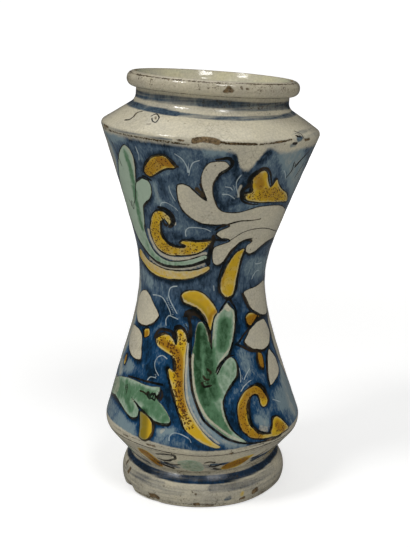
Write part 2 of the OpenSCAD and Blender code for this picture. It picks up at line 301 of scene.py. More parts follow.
UPPER_LEAVES = (
    # White scrolling leaf, whose stem runs round the right side
    ("white", 0.26, 0.22, 280, [
        (-19, 184), (-18, 186), (-14.5, 186.5), (-10.5, 185), (-7.5, 182.5), (-4.5, 180), (-1, 178.5),
        (-3, 183), (-4.5, 187.5), (-4.5, 192), (-3, 196.5), (-0.5, 199.5), (3.5, 200.5), (7.5, 200.5),
        (10, 198.5), (10, 196.5), (7.5, 194.5), (4.5, 192), (2.5, 188), (2.5, 183.5), (4, 179),
        (6.5, 174.5), (10.5, 172), (17, 171.5), (23, 172), (29.5, 173.5), (35.5, 174.5), (43, 174.5),
        (52, 174), (60.5, 172.5), (70, 169.5), (80, 165.5), (102, 164), (102, 151.5), (80, 151.5),
        (67.5, 152), (59, 151.5), (51.5, 149.5), (45, 146.5), (40.5, 145.5), (36.5, 146.5), (34, 148.5),
        (35, 151.5), (39, 153.5), (32.5, 154.5), (28, 153.5), (24.5, 151), (21, 148.5), (19, 145.5),
        (16.5, 142), (12.5, 140), (9, 140.5), (7, 143), (6.5, 146.5), (7, 150.5), (12.5, 152.5),
        (19, 154.5), (15.5, 156), (12, 156), (8, 158), (8, 159.5), (11.5, 161.5), (16.5, 163.5),
        (12.5, 164.5), (5, 164), (-2.5, 164.5), (-7.5, 166), (-12.5, 168.5), (-16.5, 172), (-18.5, 176.5),
        (-19, 180.5)]),
    # Flame-shaped orange leaf
    ("yellow", 0.3, 0.5, 165, [
        (21.8, 181.5), (22.3, 183), (25.8, 183.6), (25, 187.5), (24.3, 190.8), (26, 193.5), (28.5, 195.3),
        (31.5, 195.7), (34, 193.3), (36, 189.5), (38.7, 186), (40.5, 187.5), (42, 190.6), (45.5, 187),
        (51, 183.5), (57.5, 181), (63, 178), (66, 174.5), (55, 175.5), (44, 176.5), (35, 176.8),
        (26.5, 178), (22.8, 179.5)]),
    # Small orange leaf
    ("yellow", 0.42, 0.35, 70, [
        (-40, 190), (-39, 193.5), (-36.5, 196.5), (-33, 199.5), (-29, 201), (-25, 201.5), (-22, 199.5),
        (-18.5, 196), (-20, 194.5), (-24, 194), (-28, 192), (-31.5, 190), (-36, 188)]),
    # Orange curl and its stem
    ("yellow", 0.38, 0.45, 40, [
        (-26.5, 161.5), (-24.5, 163.5), (-25, 166.5), (-27.5, 168.5), (-31, 169.5), (-35.5, 169),
        (-39.5, 166.5), (-42.5, 162), (-45, 157.5), (-45.5, 154), (-44, 150), (-41, 146.5), (-36, 144.5),
        (-29, 143.5), (-21.5, 144), (-12.5, 145), (-5, 146.5), (1, 149.5), (3.5, 152), (5.5, 154.5),
        (0, 154.5), (-6.5, 154), (-12.5, 154), (-17.5, 153.5), (-19.5, 151.5), (-15, 150.5), (-17.5, 149.5),
        (-24, 149.5), (-28.5, 150.5), (-32, 153), (-34, 156), (-34, 159.5), (-33, 162.5), (-30, 164.5),
        (-28, 163)]),
    # Pale green leaf and the band that it grows from
    ("green", 0.28, 0.25, 280, [
        (-52, 203.5), (-48, 202), (-46, 198), (-46, 193.5), (-47.5, 188), (-49, 183.5), (-46, 184.5),
        (-42.5, 186.5), (-38, 185.5), (-36.5, 182.5), (-37, 178.5), (-40, 174.5), (-44, 172), (-47, 169.5),
        (-48.5, 165), (-50, 159.5), (-52, 155), (-50, 149), (-45, 144), (-39, 141.5), (-30, 140),
        (-20, 141), (-10, 143), (0.5, 146), (3.5, 144), (0, 142.5), (-10, 139.5), (-21.5, 137.8),
        (-31.5, 137.2), (-41.5, 137.8), (-50, 139.8), (-57.5, 142.8), (-66, 146.5), (-75, 154), (-82, 164),
        (-80, 174), (-72, 183), (-65, 192), (-58.5, 199)]),
    # Pale yellow band under the green one
    ("yellow", 0.28, 0.2, 270, [
        (-72, 141.5), (-66, 141), (-60, 138.8), (-53, 137), (-43, 135.8), (-34, 135), (-24, 135.2),
        (-15, 135.8), (-6.5, 137), (0, 138.5), (4.5, 139.5), (5.5, 137.5), (1, 135), (-6, 132.5),
        (-15, 130.8), (-24, 129.7), (-34, 129.5), (-46, 130), (-56, 131.5), (-65, 134.2), (-74, 137)]),
    # Yellow pod
    ("yellow", 0.32, 0.1, 175, [
        (32, 149.7), (26.5, 147.8), (22.3, 143.3), (18.8, 138.7), (16.3, 133), (15, 128), (16, 123.8),
        (20, 121), (24, 120.5), (28, 122), (30, 126.5), (30.5, 131), (31.5, 136), (32, 141.5), (33, 146),
        (33.5, 149)]),
)

# Each brush line has the half-widths at its start and end in millimetres, and its path
BRUSH_LINES = (
    # Stem beside the large green leaf
    (1, 0.5, [(-14, 111), (-11, 109), (-9.3, 105), (-8.6, 98), (-8.5, 90), (-7.5, 80.5), (-6, 71.5),
        (-3.5, 64.5), (0.5, 56), (6.5, 50.5), (14, 45), (21.5, 42), (29, 40.5), (40, 39.5), (52, 39.5)]),
    # Shade under the crescent, and the cleft of the leaf below it
    (2.2, 1.2, [(-14, 111), (-10, 112.6), (-5, 112.6), (-1.5, 110.8), (2, 108.3)]),
    (0.9, 1, [(-39.8, 96.5), (-38.5, 100), (-34.5, 102), (-28.5, 102), (-24.5, 101.2), (-22, 97.5)]),
    (1.2, 0.6, [(-22.5, 103.5), (-19, 104.8), (-15, 103.6), (-11.8, 100.5), (-10.6, 96.5)]),
    (0.8, 0.4, [(6.5, 103), (7.2, 98.5), (8, 92.5)]),
    (0.45, 0.45, [(25, 88.5), (20, 87.5), (14.5, 83.5), (11, 79)]),
    (0.5, 0.8, [(14.5, 112), (19, 116.5), (23, 119.5), (24.5, 121)]),
    (0.8, 0.4, [(24, 120), (27.5, 116.5), (30.3, 113), (31, 106)]),
    # Three ticks on the large green leaf
    (0.7, 0.6, [(0.3, 75.3), (2, 73), (4.5, 73.2), (7, 73.8)]),
    (0.7, 0.6, [(1.2, 79), (3, 76.8), (5.5, 76.8)]),
    (0.7, 0.6, [(4, 82.3), (6.8, 80.6), (6, 79.6)]),
    # Line over the lower left leaf, and the ticks on it
    (0.4, 0.8, [(-60, 71.5), (-50, 72.3), (-41, 72.5), (-33, 72.6), (-26.5, 72.5)]),
    (0.6, 0.5, [(-44, 66.5), (-41, 66.5), (-38.5, 65.8), (-35.5, 64)]),
    (0.55, 0.5, [(-38.5, 65.5), (-36.5, 67.3), (-35, 65.2), (-33.5, 67.2), (-32.5, 65)]),
    (0.55, 0.5, [(-33, 66), (-31.5, 67.4), (-30.5, 65.2), (-29, 66.5), (-29.5, 64.5)]),
    (0.5, 0.5, [(-36, 63.5), (-33.5, 64.3), (-31, 63.3)]),
    (0.3, 0.3, [(-58, 67.5), (-57, 64), (-57.5, 61)]),
    (0.3, 0.3, [(-60, 66.5), (-59, 63.5)]),
    (0.6, 0.9, [(-27, 70), (-26, 66.5), (-27.5, 64)]),
    # Heavy lines round the right petals
    (0.5, 0.8, [(42.5, 101), (36, 98), (31, 95), (27.5, 93.5)]),
    (0.8, 0.45, [(28, 94), (34, 91.7), (40, 88.9), (48, 87.2), (58, 86.7), (65.5, 88.5)]),
    (0.4, 0.4, [(37.5, 122), (40, 117.5), (43, 113.5), (46.5, 110)]),
    (0.35, 0.4, [(50.5, 109.5), (56, 107.7), (63.5, 104.5)]),
    (0.4, 0.5, [(65.5, 88), (57, 83), (53, 76), (51.8, 66.5)]),
    (0.35, 0.35, [(66, 84.5), (71, 79.5), (72, 73), (68.5, 69)]),
    (0.35, 0.3, [(84, 118), (78, 108), (75, 97), (75.5, 90)]),
    # Midribs of the two white leaves at the sides
    (0.3, 0.25, [(-90, 121), (-90.5, 104), (-90, 86)]),
    (0.3, 0.25, [(90, 116), (90.5, 96), (90, 72)]),
    # Lines inside the white scroll
    (0.65, 0.3, [(6.5, 161), (10, 163), (16.5, 165), (24, 166.5), (32.5, 166.5), (40.5, 167)]),
    (0.25, 0.25, [(18, 154.5), (22.5, 157), (27.5, 159.5), (35, 161), (45, 161), (55, 159.5), (64, 157.5),
        (80, 155), (100, 154)]),
    (0.5, 1.1, [(16.5, 154.7), (11, 155.3), (7, 155.2), (5.3, 153)]),
    (1, 1.3, [(6, 158), (5.6, 153), (4.8, 149), (4, 145), (3.7, 139.8)]),
    (0.35, 0.6, [(-11.5, 185.7), (-7, 182), (-3, 179.2), (-0.5, 178)]),
    (0.5, 0.6, [(-5.3, 187.5), (-3.2, 183), (-1, 178.5)]),
    (0.5, 1.2, [(2, 201.3), (5, 201.8), (8.3, 202.5), (11, 201.5)]),
    (1.2, 0.5, [(11, 201.5), (11.4, 198.5), (9, 196), (5.6, 193.8), (4, 190)]),
    # Lines of the pale green leaf and its band
    (0.3, 0.45, [(-59, 169), (-54.5, 173), (-52, 178), (-49, 183), (-44, 186.5), (-37, 185.5)]),
    (0.35, 0.6, [(-57.5, 142), (-50, 139.2), (-41.5, 137.1), (-31.5, 136.5), (-21.5, 137.1), (-10, 138.8),
        (-2, 141), (3.5, 143)]),
    (0.3, 0.3, [(-65, 171), (-62.5, 168.5), (-61, 171)]),
    (0.3, 0.3, [(-63.5, 168), (-61, 166), (-59.5, 168.5)]),
    (0.35, 0.35, [(-66, 203), (-63, 197), (-61, 190)]),
    # Curl of the orange scroll
    (0.9, 1.1, [(-34, 171), (-29, 171), (-24.5, 169), (-22.5, 165.5), (-24, 162), (-27, 160.5)]),
    (0.5, 0.9, [(-31.5, 165), (-30.5, 162), (-28.5, 161)]),
    # Shade on both sides of the pod
    (0.7, 0.4, [(38, 155), (32, 154.8), (26.5, 152.7), (21.2, 147.2), (17, 140.6), (14.3, 134), (13.7, 128),
        (15, 123)]),
    (0.6, 0.6, [(34.5, 149.5), (33.5, 144.5), (32.6, 138.5), (31.8, 131), (31.2, 125.5), (28.5, 121.3)]),
    (0.6, 0.6, [(28.5, 121), (24, 119.6), (19.5, 120.3)]),
    # Dark curls of the flame leaf and of the small leaf
    (0.4, 1.1, [(34, 176), (28, 176.3), (22.2, 178), (20, 181), (20, 184.3), (22.2, 186)]),
    (1.2, 1, [(22.8, 186), (23.4, 188.5), (22.8, 191), (24.6, 193.8), (27, 195.6)]),
    (0.9, 0.5, [(27, 195.6), (29.7, 197), (33, 196.3), (36, 193), (38, 189.5), (39.5, 187)]),
    (0.9, 0.6, [(-20, 196.5), (-17, 195.8)]),
    (0.5, 0.5, [(-42, 188), (-39, 187.5), (-35.5, 186)]),
    # Strokes on the thin blue at the right
    (0.9, 0.5, [(55, 196), (60, 200), (66, 204)]),
    (0.4, 0.6, [(50, 190), (53, 194), (52.5, 199)]),
    (0.3, 0.3, [(61, 189), (65, 195), (68, 202)]),
    (1, 0.6, [(49, 213.6), (52, 213)]),
    (0.8, 0.8, [(44.5, 210.2), (48, 209.8)]),
    (0.3, 0.3, [(51, 215.8), (54.5, 214.3), (53.5, 212)]),
    # Dashes on the collar
    (0.7, 1.2, [(-31, 29), (-26, 28), (-21, 29)]),
    (1, 0.8, [(-21, 29.5), (-17.5, 31), (-17, 34)]),
    (0.8, 1.2, [(-32, 25), (-27, 23), (-21.5, 21.8)]),
    (0.9, 0.5, [(-27, 26), (-21, 25.2), (-15.5, 26)]),
    (0.6, 0.9, [(-30, 32.5), (-23, 34), (-16.5, 34)]),
    (0.35, 0.3, [(-46.5, 27), (-41, 22.7), (-34, 20.9)]),
    (0.3, 0.3, [(-37, 30), (-34, 26), (-33, 23)]),
    (0.6, 0.8, [(1, 28.3), (4, 29.3), (8, 28.6)]),
    (1, 0.7, [(4, 25.8), (8, 25), (13, 26.6)]),
    (1, 0.6, [(7.5, 23), (11, 22), (14, 21.5)]),
    (1.1, 0.6, [(35, 26.5), (41, 28), (47, 31)]),
    (0.5, 0.3, [(34, 21.8), (39, 23), (44.5, 25)]),
    (0.4, 0.9, [(44, 22), (50, 24.5), (57, 29)]),
    (0.35, 0.3, [(-54, 32), (-49, 30), (-46, 27)]),
    # Thin line under the belly's ridge
    (0.28, 0.28, [(-104, 38.5), (-70, 38), (-50, 38), (-32, 37), (-15, 35.8), (0, 34.8), (15, 35.3),
        (30, 36.5), (50, 37.2), (70, 38), (104, 38)]),
    # Cracked chips on the slope of the shoulder
    (0.35, 0.6, [(-50.5, 221), (-54.5, 219.8), (-53, 218), (-53.5, 216.5), (-57, 216)]),
    (0.4, 0.4, [(-40.5, 219.5), (-38, 220.8), (-34, 219.5), (-33.5, 217.3), (-36, 217.6), (-38.5, 218.8)]),
    (0.3, 0.25, [(-38.5, 216), (-35.5, 216.4)]),
)

# Lines scratched through the blue
SCRATCHED_LINES = (
    [(-22.5, 126.5), (-26.5, 126), (-30, 124.5), (-31, 121), (-29, 118), (-25, 114.5), (-21.5, 111.5)],
    [(-49.5, 119), (-44, 119.5), (-37.5, 119), (-32.5, 116), (-29, 113), (-27, 110.5)],
    [(-20, 108.5), (-25, 109.5), (-29, 110), (-31.5, 107.5), (-30.5, 104)],
    [(-25.5, 86.5), (-30, 88), (-34, 86.5), (-35.5, 83.5), (-34, 80), (-30.5, 77)],
    [(-39.5, 73), (-37, 75.5), (-32, 75.5)],
    [(-19, 43.5), (-19, 46), (-16.5, 48), (-12, 47.5), (-7.5, 45.5), (-6.5, 43.5)],
    [(27.5, 73.5), (28.5, 77), (28, 81.5)],
    [(26.5, 68.5), (29.5, 71), (34, 73), (36.5, 73.5)],
    [(30.5, 74.5), (33, 77), (37, 80)],
    [(9.5, 128), (10, 124.5)],
    [(51.5, 60), (59, 56.5)],
    [(-19, 203), (-15, 200.5), (-12.5, 196.5), (-12, 193)],
    [(-5.5, 200.5), (-9, 199), (-10.5, 196), (-11.5, 191.5)],
    [(-42.5, 204), (-41.5, 199.5), (-42, 196)],
    [(-24, 184.5), (-23, 180.5), (-20.5, 176)],
    [(-32, 171.5), (-30.5, 174), (-26.5, 174.5), (-21.5, 172.5), (-19, 170.5)],
    [(-14, 156), (-14.5, 159), (-12, 161.5), (-6.5, 162), (0, 161.5), (4, 160)],
    [(17.5, 193.5), (15.5, 189.5), (16.5, 185), (19, 180.5)],
    [(9, 186.5), (12.5, 186), (14, 184.5)],
    [(8, 182), (12, 182), (16.5, 179.5)],
    [(45, 195), (47.5, 193), (50, 189.5)],
    [(49, 129), (50.5, 131.5), (55, 134), (60, 133.5)],
    [(50.5, 139), (55, 138.5), (61.5, 138.5)],
)

# Each wash has a strength, a half-width in millimetres and a path, which may be one spot
WASHES = {
    # Cream left bare along leaves and between bands
    "light": (
        (1, 0.6, [(-6.2, 90), (-6.4, 84), (-5.4, 77), (-3.8, 70), (-1.2, 63.5), (3, 56.8), (8.5, 52),
            (15, 47), (21, 43.8)]),
        (0.8, 0.3, [(9.5, 98), (11, 106.5), (14, 111), (18, 113.5)]),
        (1, 1.6, [(21.5, 115), (23.5, 114)]),
        (0.8, 0.4, [(24, 115), (28, 111), (27.5, 103), (24, 94), (19, 90), (14, 86)]),
        (0.8, 0.4, [(12.7, 65), (12.7, 59.5), (14.2, 54), (17, 48.8)]),
        (0.6, 0.4, [(2.5, 106), (4.5, 102), (6, 97)]),
        (0.9, 0.6, [(-10.5, 97), (-10.5, 88), (-10.5, 78), (-9.2, 68), (-6.5, 60.5), (-2.5, 54),
            (2.5, 48.5), (9, 43)]),
        (0.8, 1.2, [(-22.5, 163)]),
        (0.8, 0.7, [(18.6, 187), (17.8, 184), (18.4, 181)]),
        (0.55, 1.6, [(36.5, 47.5), (40, 46)]),
        (0.55, 0.7, [(-17, 119.2), (-11, 117.5), (-5, 115.9), (1, 112.5), (4.6, 107.5)]),
        (0.75, 0.9, [(-52, 138.8), (-41.5, 136.5), (-31.5, 135.9), (-21.5, 136.4), (-10, 138), (0, 140.6)]),
        (0.48, 2, [(-66, 138.3), (-50, 134.3), (-34, 132.8), (-20, 133.2), (-6, 135), (2, 137.3)]),
        # Paler at the left side, where the jar turns from view: painted sheen
        (0.47, 5, [(-94, 60), (-74, 62)]),
        (1, 1, [(-47, 156), (-46.5, 151), (-43, 146), (-37, 143), (-29, 142), (-20, 142.3), (-10, 143.8),
            (1, 147)]),
        (0.8, 0.6, [(-52, 202.6), (-48, 200.5), (-47, 196), (-47.5, 190), (-49, 186)]),
        (0.5, 0.8, [(-24.5, 47.5), (-23, 49)]),
        (0.42, 5, [(-13, 25.5), (-4, 26)]),
    ),
    # Green pooled deep
    "deep_green": (
        (0.72, 3, [(-2.5, 104), (-3, 96), (-3.2, 88), (-2, 78), (0.5, 70), (3, 64)]),
        (0.66, 3.4, [(4, 102), (5, 93), (6, 84), (7, 75), (8, 69)]),
        (0.45, 4, [(5, 61), (9, 55), (14, 50)]),
        (1, 1.8, [(-2.5, 104), (-2.8, 96), (-2.5, 88)]),
        (0.55, 3.2, [(16, 94), (20, 106)]),
        (0.3, 4.5, [(-90, 61), (-72, 63), (-58, 63), (-44, 65), (-32, 63), (-24, 56)]),
        (0.45, 1.6, [(-60, 68), (-57, 61), (-49, 55)]),
        (0.62, 2, [(-53, 199), (-51.5, 190), (-53, 178), (-55, 166), (-55, 156)]),
        (0.15, 3, [(-56, 155), (-48, 142), (-34, 138), (-15, 140)]),
        (0.95, 3.4, [(-38, 55), (-37, 50), (-36.5, 43)]),
        (0.65, 1.2, [(-16, 119.8), (-10, 118.8), (-4, 117.2), (1, 114.5), (5, 110)]),
    ),
    # Brown dots on the yellow
    "stipple": (
        (1.08, 2.8, [(-34, 95.5), (-26, 94.5), (-19.5, 89), (-17, 80), (-15.5, 70), (-12.5, 60),
            (-7.5, 52.5)]),
        (0.95, 2.4, [(-15.5, 100), (-14.5, 94)]),
        (0.75, 3.6, [(-37, 191), (-31, 195), (-26, 198)]),
        (0.76, 4, [(-28, 166.5), (-36, 165.5), (-40, 156), (-36, 148), (-24, 146.5), (-10, 149), (2, 152)]),
        (0.85, 4.5, [(26, 180.5), (36, 182), (46, 181), (60, 178)]),
        (0.5, 3, [(28, 192), (30, 187)]),
        (0.7, 3, [(44, 63), (37, 67), (27, 60), (26, 50), (34, 43.5)]),
        (0.75, 4, [(50, 44), (56, 42)]),
        (0.35, 2, [(-35, 131), (-24, 131.5)]),
        (0.4, 3, [(22, 127), (26, 138), (32, 148)]),
        (0.5, 2, [(45, 105), (55, 105.5)]),
        (0.5, 2, [(49, 84), (49, 79)]),
        (0.6, 4, [(-40, 31), (-34, 24)]),
        (0.6, 4, [(18, 24), (28, 27)]),
    ),
    # Orange-brown on the yellow, and stains on the cream
    "ochre": (
        (0.35, 1.8, [(-18, 120.5), (-12, 121.5), (-4, 121), (3, 118), (8, 113)]),
        (0.6, 1.5, [(6, 107), (8, 111), (11, 113)]),
        (0.9, 2.4, [(-28, 198.5), (-22, 197)]),
        (0.6, 4, [(-38, 191), (-30, 196)]),
        (0.8, 3, [(43, 105), (55, 105)]),
        (0.8, 3, [(49, 84), (49, 79)]),
        (0.8, 2, [(-71, 79), (-50, 97.5)]),
        (0.6, 3, [(28, 192), (31, 187)]),
        (0.75, 2.4, [(-32, 95), (-18, 90.5), (-15.5, 80), (-14.3, 72), (-11.5, 61)]),
        (0.45, 4, [(36, 182), (50, 180)]),
        (0.35, 4, [(-40, 160), (-38, 148), (-15, 148)]),
        (0.9, 4, [(-40, 31), (-34, 24)]),
        (0.8, 4, [(18, 24), (28, 27)]),
        (0.65, 3, [(44, 64), (35, 68), (25, 58), (26, 48), (34, 43)]),
        (0.6, 3, [(50, 46), (54, 43)]),
        (0.5, 1.2, [(17, 128), (19, 136)]),
        (0.07, 4, [(-104, 237.5), (104, 237.5)]),
    ),
    # Blue pooled deep
    "deep_blue": (
        (1, 1.7, [(-8, 106), (-7.5, 98), (-7, 92)]),
        (0.9, 2.4, [(-14, 110), (-5, 110.5), (2, 107)]),
        (0.7, 4, [(-46, 92), (-41, 84), (-36, 77)]),
        (0.7, 2.6, [(-25, 72), (-20, 62), (-15, 53)]),
        (0.8, 2.4, [(20, 62), (18.5, 55), (22, 47)]),
        (0.6, 3, [(33, 100), (31, 108), (33, 118)]),
        (0.6, 4, [(-35, 114), (-25, 106)]),
        (0.8, 3, [(-38, 158), (-30, 155), (-20, 156)]),
        (0.15, 4, [(-12, 127), (5, 128), (14, 122)]),
        (1, 1.6, [(5.5, 192.5), (3.8, 187), (4.2, 182.5), (6.5, 177.5), (11, 174)]),
        (0.8, 2.6, [(14, 177), (19, 180), (21, 189), (20, 196)]),
        (0.9, 1.8, [(12.3, 203), (13.5, 197), (15.5, 190)]),
        (1.1, 1.8, [(27.5, 205), (31, 206), (30, 203), (26.5, 200.5)]),
        (0.6, 3, [(-15, 190), (-28, 186), (-30, 178)]),
        (0.7, 2, [(-7, 44), (3, 40)]),
        (0.6, 1.5, [(-46, 207), (-30, 207), (-12, 206.5)]),
        (0.6, 2.6, [(-104, 18), (-30, 16.6), (0, 16), (30, 16.4), (104, 18)]),
        (0.5, 1, [(-60, 17.8), (-30, 16.2), (0, 15.4), (25, 15.6), (58, 17.8)]),
    ),
    # Blue thin and worn; towards the sides, where the jar turns from view, the paler blue is also painted
    # sheen
    "thin_blue_and_sheen": (
        (0.9, 8, [(46, 205), (57, 196), (68, 186)]),
        (1.25, 6, [(-96, 206), (-78, 203), (-74, 193), (-84, 184)]),
        (0.95, 5, [(80, 74), (72, 64), (70, 54), (74, 47)]),
        # Wide pale spots at the sides: painted sheen
        (0.8, 18, [(90, 60)]),
        (1.25, 14, [(-90, 196)]),
        (0.9, 3.5, [(37, 52), (42, 48)]),
        (0.5, 6, [(45, 138), (60, 135), (85, 136)]),
        (0.62, 5.5, [(-88, 50), (-72, 48), (-58, 46), (-48, 44)]),
        (1.1, 4, [(-96, 78), (-80, 75), (-74, 71)]),
        (0.8, 2.5, [(-26, 47.5), (-18, 49)]),
        (1.25, 4, [(-86, 130), (-78, 118), (-79, 104), (-78, 94), (-82, 82)]),
        (0.35, 3, [(-28, 44), (-16, 43.5)]),
        (1.2, 1.1, [(4, 49.3), (9, 45), (15, 42), (24, 40.2)]),
        (0.7, 7, [(62, 58), (78, 56), (90, 56)]),
        (0.75, 4, [(-70, 76), (-60, 77)]),
        (1.25, 1.4, [(-9.7, 96), (-9.5, 86), (-8.8, 76), (-7, 67), (-4, 60), (0.5, 53.5), (6, 48), (12, 44),
            (19, 41)]),
        (0.45, 3.5, [(30, 84), (34, 80)]),
        (1, 2.4, [(-34, 183), (-32, 175)]),
        (0.5, 4, [(-66, 128), (-56, 126)]),
        (0.75, 2.2, [(-92, 206.5), (-70, 206.5), (-52, 206.5)]),
        (0.8, 1.6, [(-3, 205.3), (6, 205.5)]),
        (0.4, 3, [(20, 172.5), (32, 176)]),
        (0.35, 4, [(40, 56), (46, 52)]),
        (0.35, 4, [(-24, 190), (-10, 176)]),
    ),
    # Blue bands round neck and foot, with strokes and spots
    "band": (
        (0.78, 2.2, [(-104, 227.8), (-60, 227.8), (-30, 228), (-8, 228)]),
        # The band under the lip is stronger at the right, partly as painted shade of the lip
        (0.85, 2.4, [(-10, 228), (20, 227.3), (50, 227), (104, 227)]),
        (0.35, 1.5, [(-60, 225), (-20, 224.8), (30, 224.8)]),
        (0.95, 2.2, [(-104, 222.6), (-50, 222.4), (-24, 221.8)]),
        (0.8, 1.9, [(-22, 221.8), (-8, 221.6), (10, 221.5), (40, 222), (104, 222.6)]),
        (0.42, 3.5, [(48, 213), (60, 214), (75, 214)]),
        (0.6, 0.9, [(-84, 211.4), (-60, 210.8), (-40, 210.7), (-20, 210.2)]),
        (1.05, 1.8, [(-104, 18.2), (-58, 18.2), (-30, 17.6), (0, 17.2), (30, 17.4), (60, 18.2),
            (104, 18.4)]),
        (1, 1.4, [(-80, 18.4), (-58, 17.6), (-36, 16.5), (-15, 15.7), (10, 15.5), (35, 16.2), (58, 17.6),
            (80, 18.4)]),
        (0.5, 3, [(-72, 14), (-58, 13), (-42, 12.5), (-30, 12)]),
        (0.55, 2.6, [(6, 12), (24, 11.8), (40, 12.5), (60, 14)]),
        (0.45, 3, [(-26, 10), (-6, 9.5)]),
        (0.34, 5, [(-104, 8), (-60, 9), (-30, 7), (20, 7), (60, 8), (104, 8)]),
        (0.8, 1.5, [(15.5, 4.6), (18, 5.4)]),
        (0.45, 1.2, [(30, 9), (40, 10)]),
        (0.45, 1.2, [(-25, 32.5), (-18, 33)]),
        (0.85, 1.6, [(-30, 26), (-24, 24.5), (-18, 23.5)]),
        (0.85, 1.5, [(6, 27), (11, 26.5), (17, 27)]),
        (0.55, 2, [(0.5, 26), (5, 24), (10, 22)]),
        (0.8, 2.2, [(38, 25), (50, 27), (64, 30)]),
        (0.65, 2.2, [(-70, 25), (-56, 22.5), (-46, 21.5)]),
        (0.45, 4, [(-90, 30), (-66, 29)]),
        (0.45, 4, [(60, 28), (90, 30)]),
        (0.45, 0.6, [(-40, 37.5), (-15, 35.4), (0, 34.4), (15, 35), (40, 37)]),
        (0.7, 1, [(-80, 27), (-76, 29)]),
        (0.7, 0.9, [(-12, 40), (-9, 40.5)]),
        (0.6, 0.8, [(-58, 41), (-55, 41.5)]),
        (0.9, 1.6, [(49, 212), (52, 213)]),
        (0.8, 1.4, [(44, 209), (47, 209.5)]),
    ),
    # Dirt in the groove, under the ridge and along worn edges, with painted shade in the groove, under the
    # ridge, under the lip and on the neck below it
    "dirt_and_shade": (
        # Dark line in the groove: dirt, with painted shade in the crease
        (0.6, 0.5, [(-104, 20.3), (104, 20.3)]),
        # Dark line under the belly's ridge: dirt, with painted shade under its overhang
        (0.35, 1.2, [(-104, 36.8), (-40, 36), (0, 34.8), (40, 35.5), (104, 36.8)]),
        (0.6, 0.5, [(-64, 41.5), (-46, 40.6), (-30, 39.8), (-12, 38.4)]),
        (0.5, 0.5, [(20, 38.2), (34, 38.8), (52, 39.8), (70, 41)]),
        (0.72, 0.8, [(-80, 209.5), (-50, 209.3), (-30, 209.2), (-11, 208.6)]),
        (0.95, 0.8, [(4, 211), (8, 210.5), (14, 210.5), (22, 210.4)]),
        (0.85, 0.6, [(24, 210.4), (35, 211.3), (44, 212.4)]),
        # Painted shade under the lip
        (0.65, 0.7, [(-104, 231.8), (104, 231.8)]),
        (0.85, 0.5, [(-104, 239.3), (-60, 239), (-30, 238.9), (0, 239), (30, 239.3), (104, 239.6)]),
        (0.3, 0.9, [(-104, 239.6), (104, 239.7)]),
        (0.75, 1.3, [(-7, 184.3), (-4.5, 182.3), (-3, 180.5)]),
        (0.36, 3.5, [(-104, 237.5), (-20, 237.5), (104, 237.2)]),
        # Painted shade of the lip on the neck, at the right
        (0.45, 2.2, [(-6, 227.8), (40, 227.6), (70, 227.6)]),
        # Darker and duller round the lower foot
        (0.32, 6, [(-104, 8), (104, 8)]),
        (0.32, 3, [(-104, 18), (104, 18)]),
        (0.5, 1, [(-104, 2.2), (104, 2.2)]),
    ),
    # Chips that show the clay
    "bare": (
        (1, 1.6, [(-8.5, 210.8), (-5, 212), (-1, 212), (2.5, 211)]),
        (1, 0.4, [(9, 210.5), (12, 210.5)]),
        (1, 0.4, [(17, 210.4), (21, 210.4)]),
        (1, 0.4, [(33, 211.2), (37, 211.6)]),
        (1, 0.35, [(-17, 210.5), (-14, 210.5)]),
        (1, 0.5, [(-72, 211), (-66, 210.8)]),
        (1, 0.5, [(55, 211.4), (60, 211.2)]),
        (1, 0.7, [(5.8, 234.9), (11, 235.2), (8.3, 237), (7.4, 235.5)]),
        (1, 0.4, [(16.5, 237.6), (17.2, 236.8)]),
        (1, 0.3, [(20, 236.8), (21.5, 236.6)]),
        (1, 0.25, [(30, 236)]),
        (1, 0.35, [(-31, 238.3)]),
        (1, 0.3, [(24, 237)]),
        (1, 0.3, [(-54, 219.8), (-53.3, 218.3)]),
        (1, 0.4, [(-37, 219.6), (-35.5, 218.7)]),
        (1, 1, [(-66.5, 10.5), (-64.5, 13)]),
        (1, 0.6, [(-74, 13), (-72.5, 15.5)]),
        (1, 2.2, [(-67, 1), (-63, 1.5)]),
        (1, 1.3, [(-39, 3.6), (-35.5, 4.2), (-33, 3.4)]),
        (1, 0.9, [(-6, 2.4), (-3.5, 2.6)]),
        (1, 0.5, [(2, 1.8), (6, 1.8)]),
        (1, 1.5, [(37, 5.6), (39.5, 6.2)]),
        (1, 0.7, [(26, 3.2), (29, 3.6)]),
        (1, 0.5, [(-5, 9)]),
        (1, 0.9, [(70, 2), (76, 2.4)]),
        (1, 0.7, [(16, 35.5), (17, 36)]),
        (1, 0.5, [(40, 39.5), (43, 39.5)]),
        (1, 0.4, [(-33, 39), (-28, 38.6)]),
        (1, 0.4, [(-52, 40), (-48, 39.8)]),
    ),
}

# The blue ground lies between these two lines round the body
GROUND_FOOT = [
    (-104, 44), (-70, 43.5), (-52, 43), (-42, 42), (-30, 41.5), (-15, 39.8), (0, 38.6),
    (15, 38.7), (30, 39.5), (50, 40.5), (70, 42), (104, 43)]
GROUND_HEAD = [
    (-104, 207.5), (-80, 207.5), (-60, 208), (-40, 208), (-20, 208), (-10, 207.3), (0, 207),
    (8, 206.5), (12.5, 205.5), (14.5, 201), (16.5, 197), (20.5, 196), (23.5, 199), (26, 203.3), (28, 207),
    (31, 208), (35, 206.5), (40, 205), (55, 206.5), (75, 206.5), (104, 206.5)]

# Furthest that a leaf, line or wash is felt beyond its own edge, in millimetres
REACH = 5.0
# The wash kinds that become soft masks, and the softness of their edges in millimetres
SOFT_MASKS = {"deep_green": 1.6, "stipple": 1.0, "ochre": 1.2, "deep_blue": 1.8, "thin_blue_and_sheen": 3.0,
              "band": 0.6, "dirt_and_shade": 0.5}
# The wash kinds that stay distances, and the softness that a weak one of them never passes
EDGES = ("light", "bare")
EDGE_SOFTNESS = 0.35


# The turned profile: points are (radius, height) in millimetres, and a path climbs, clay to its left


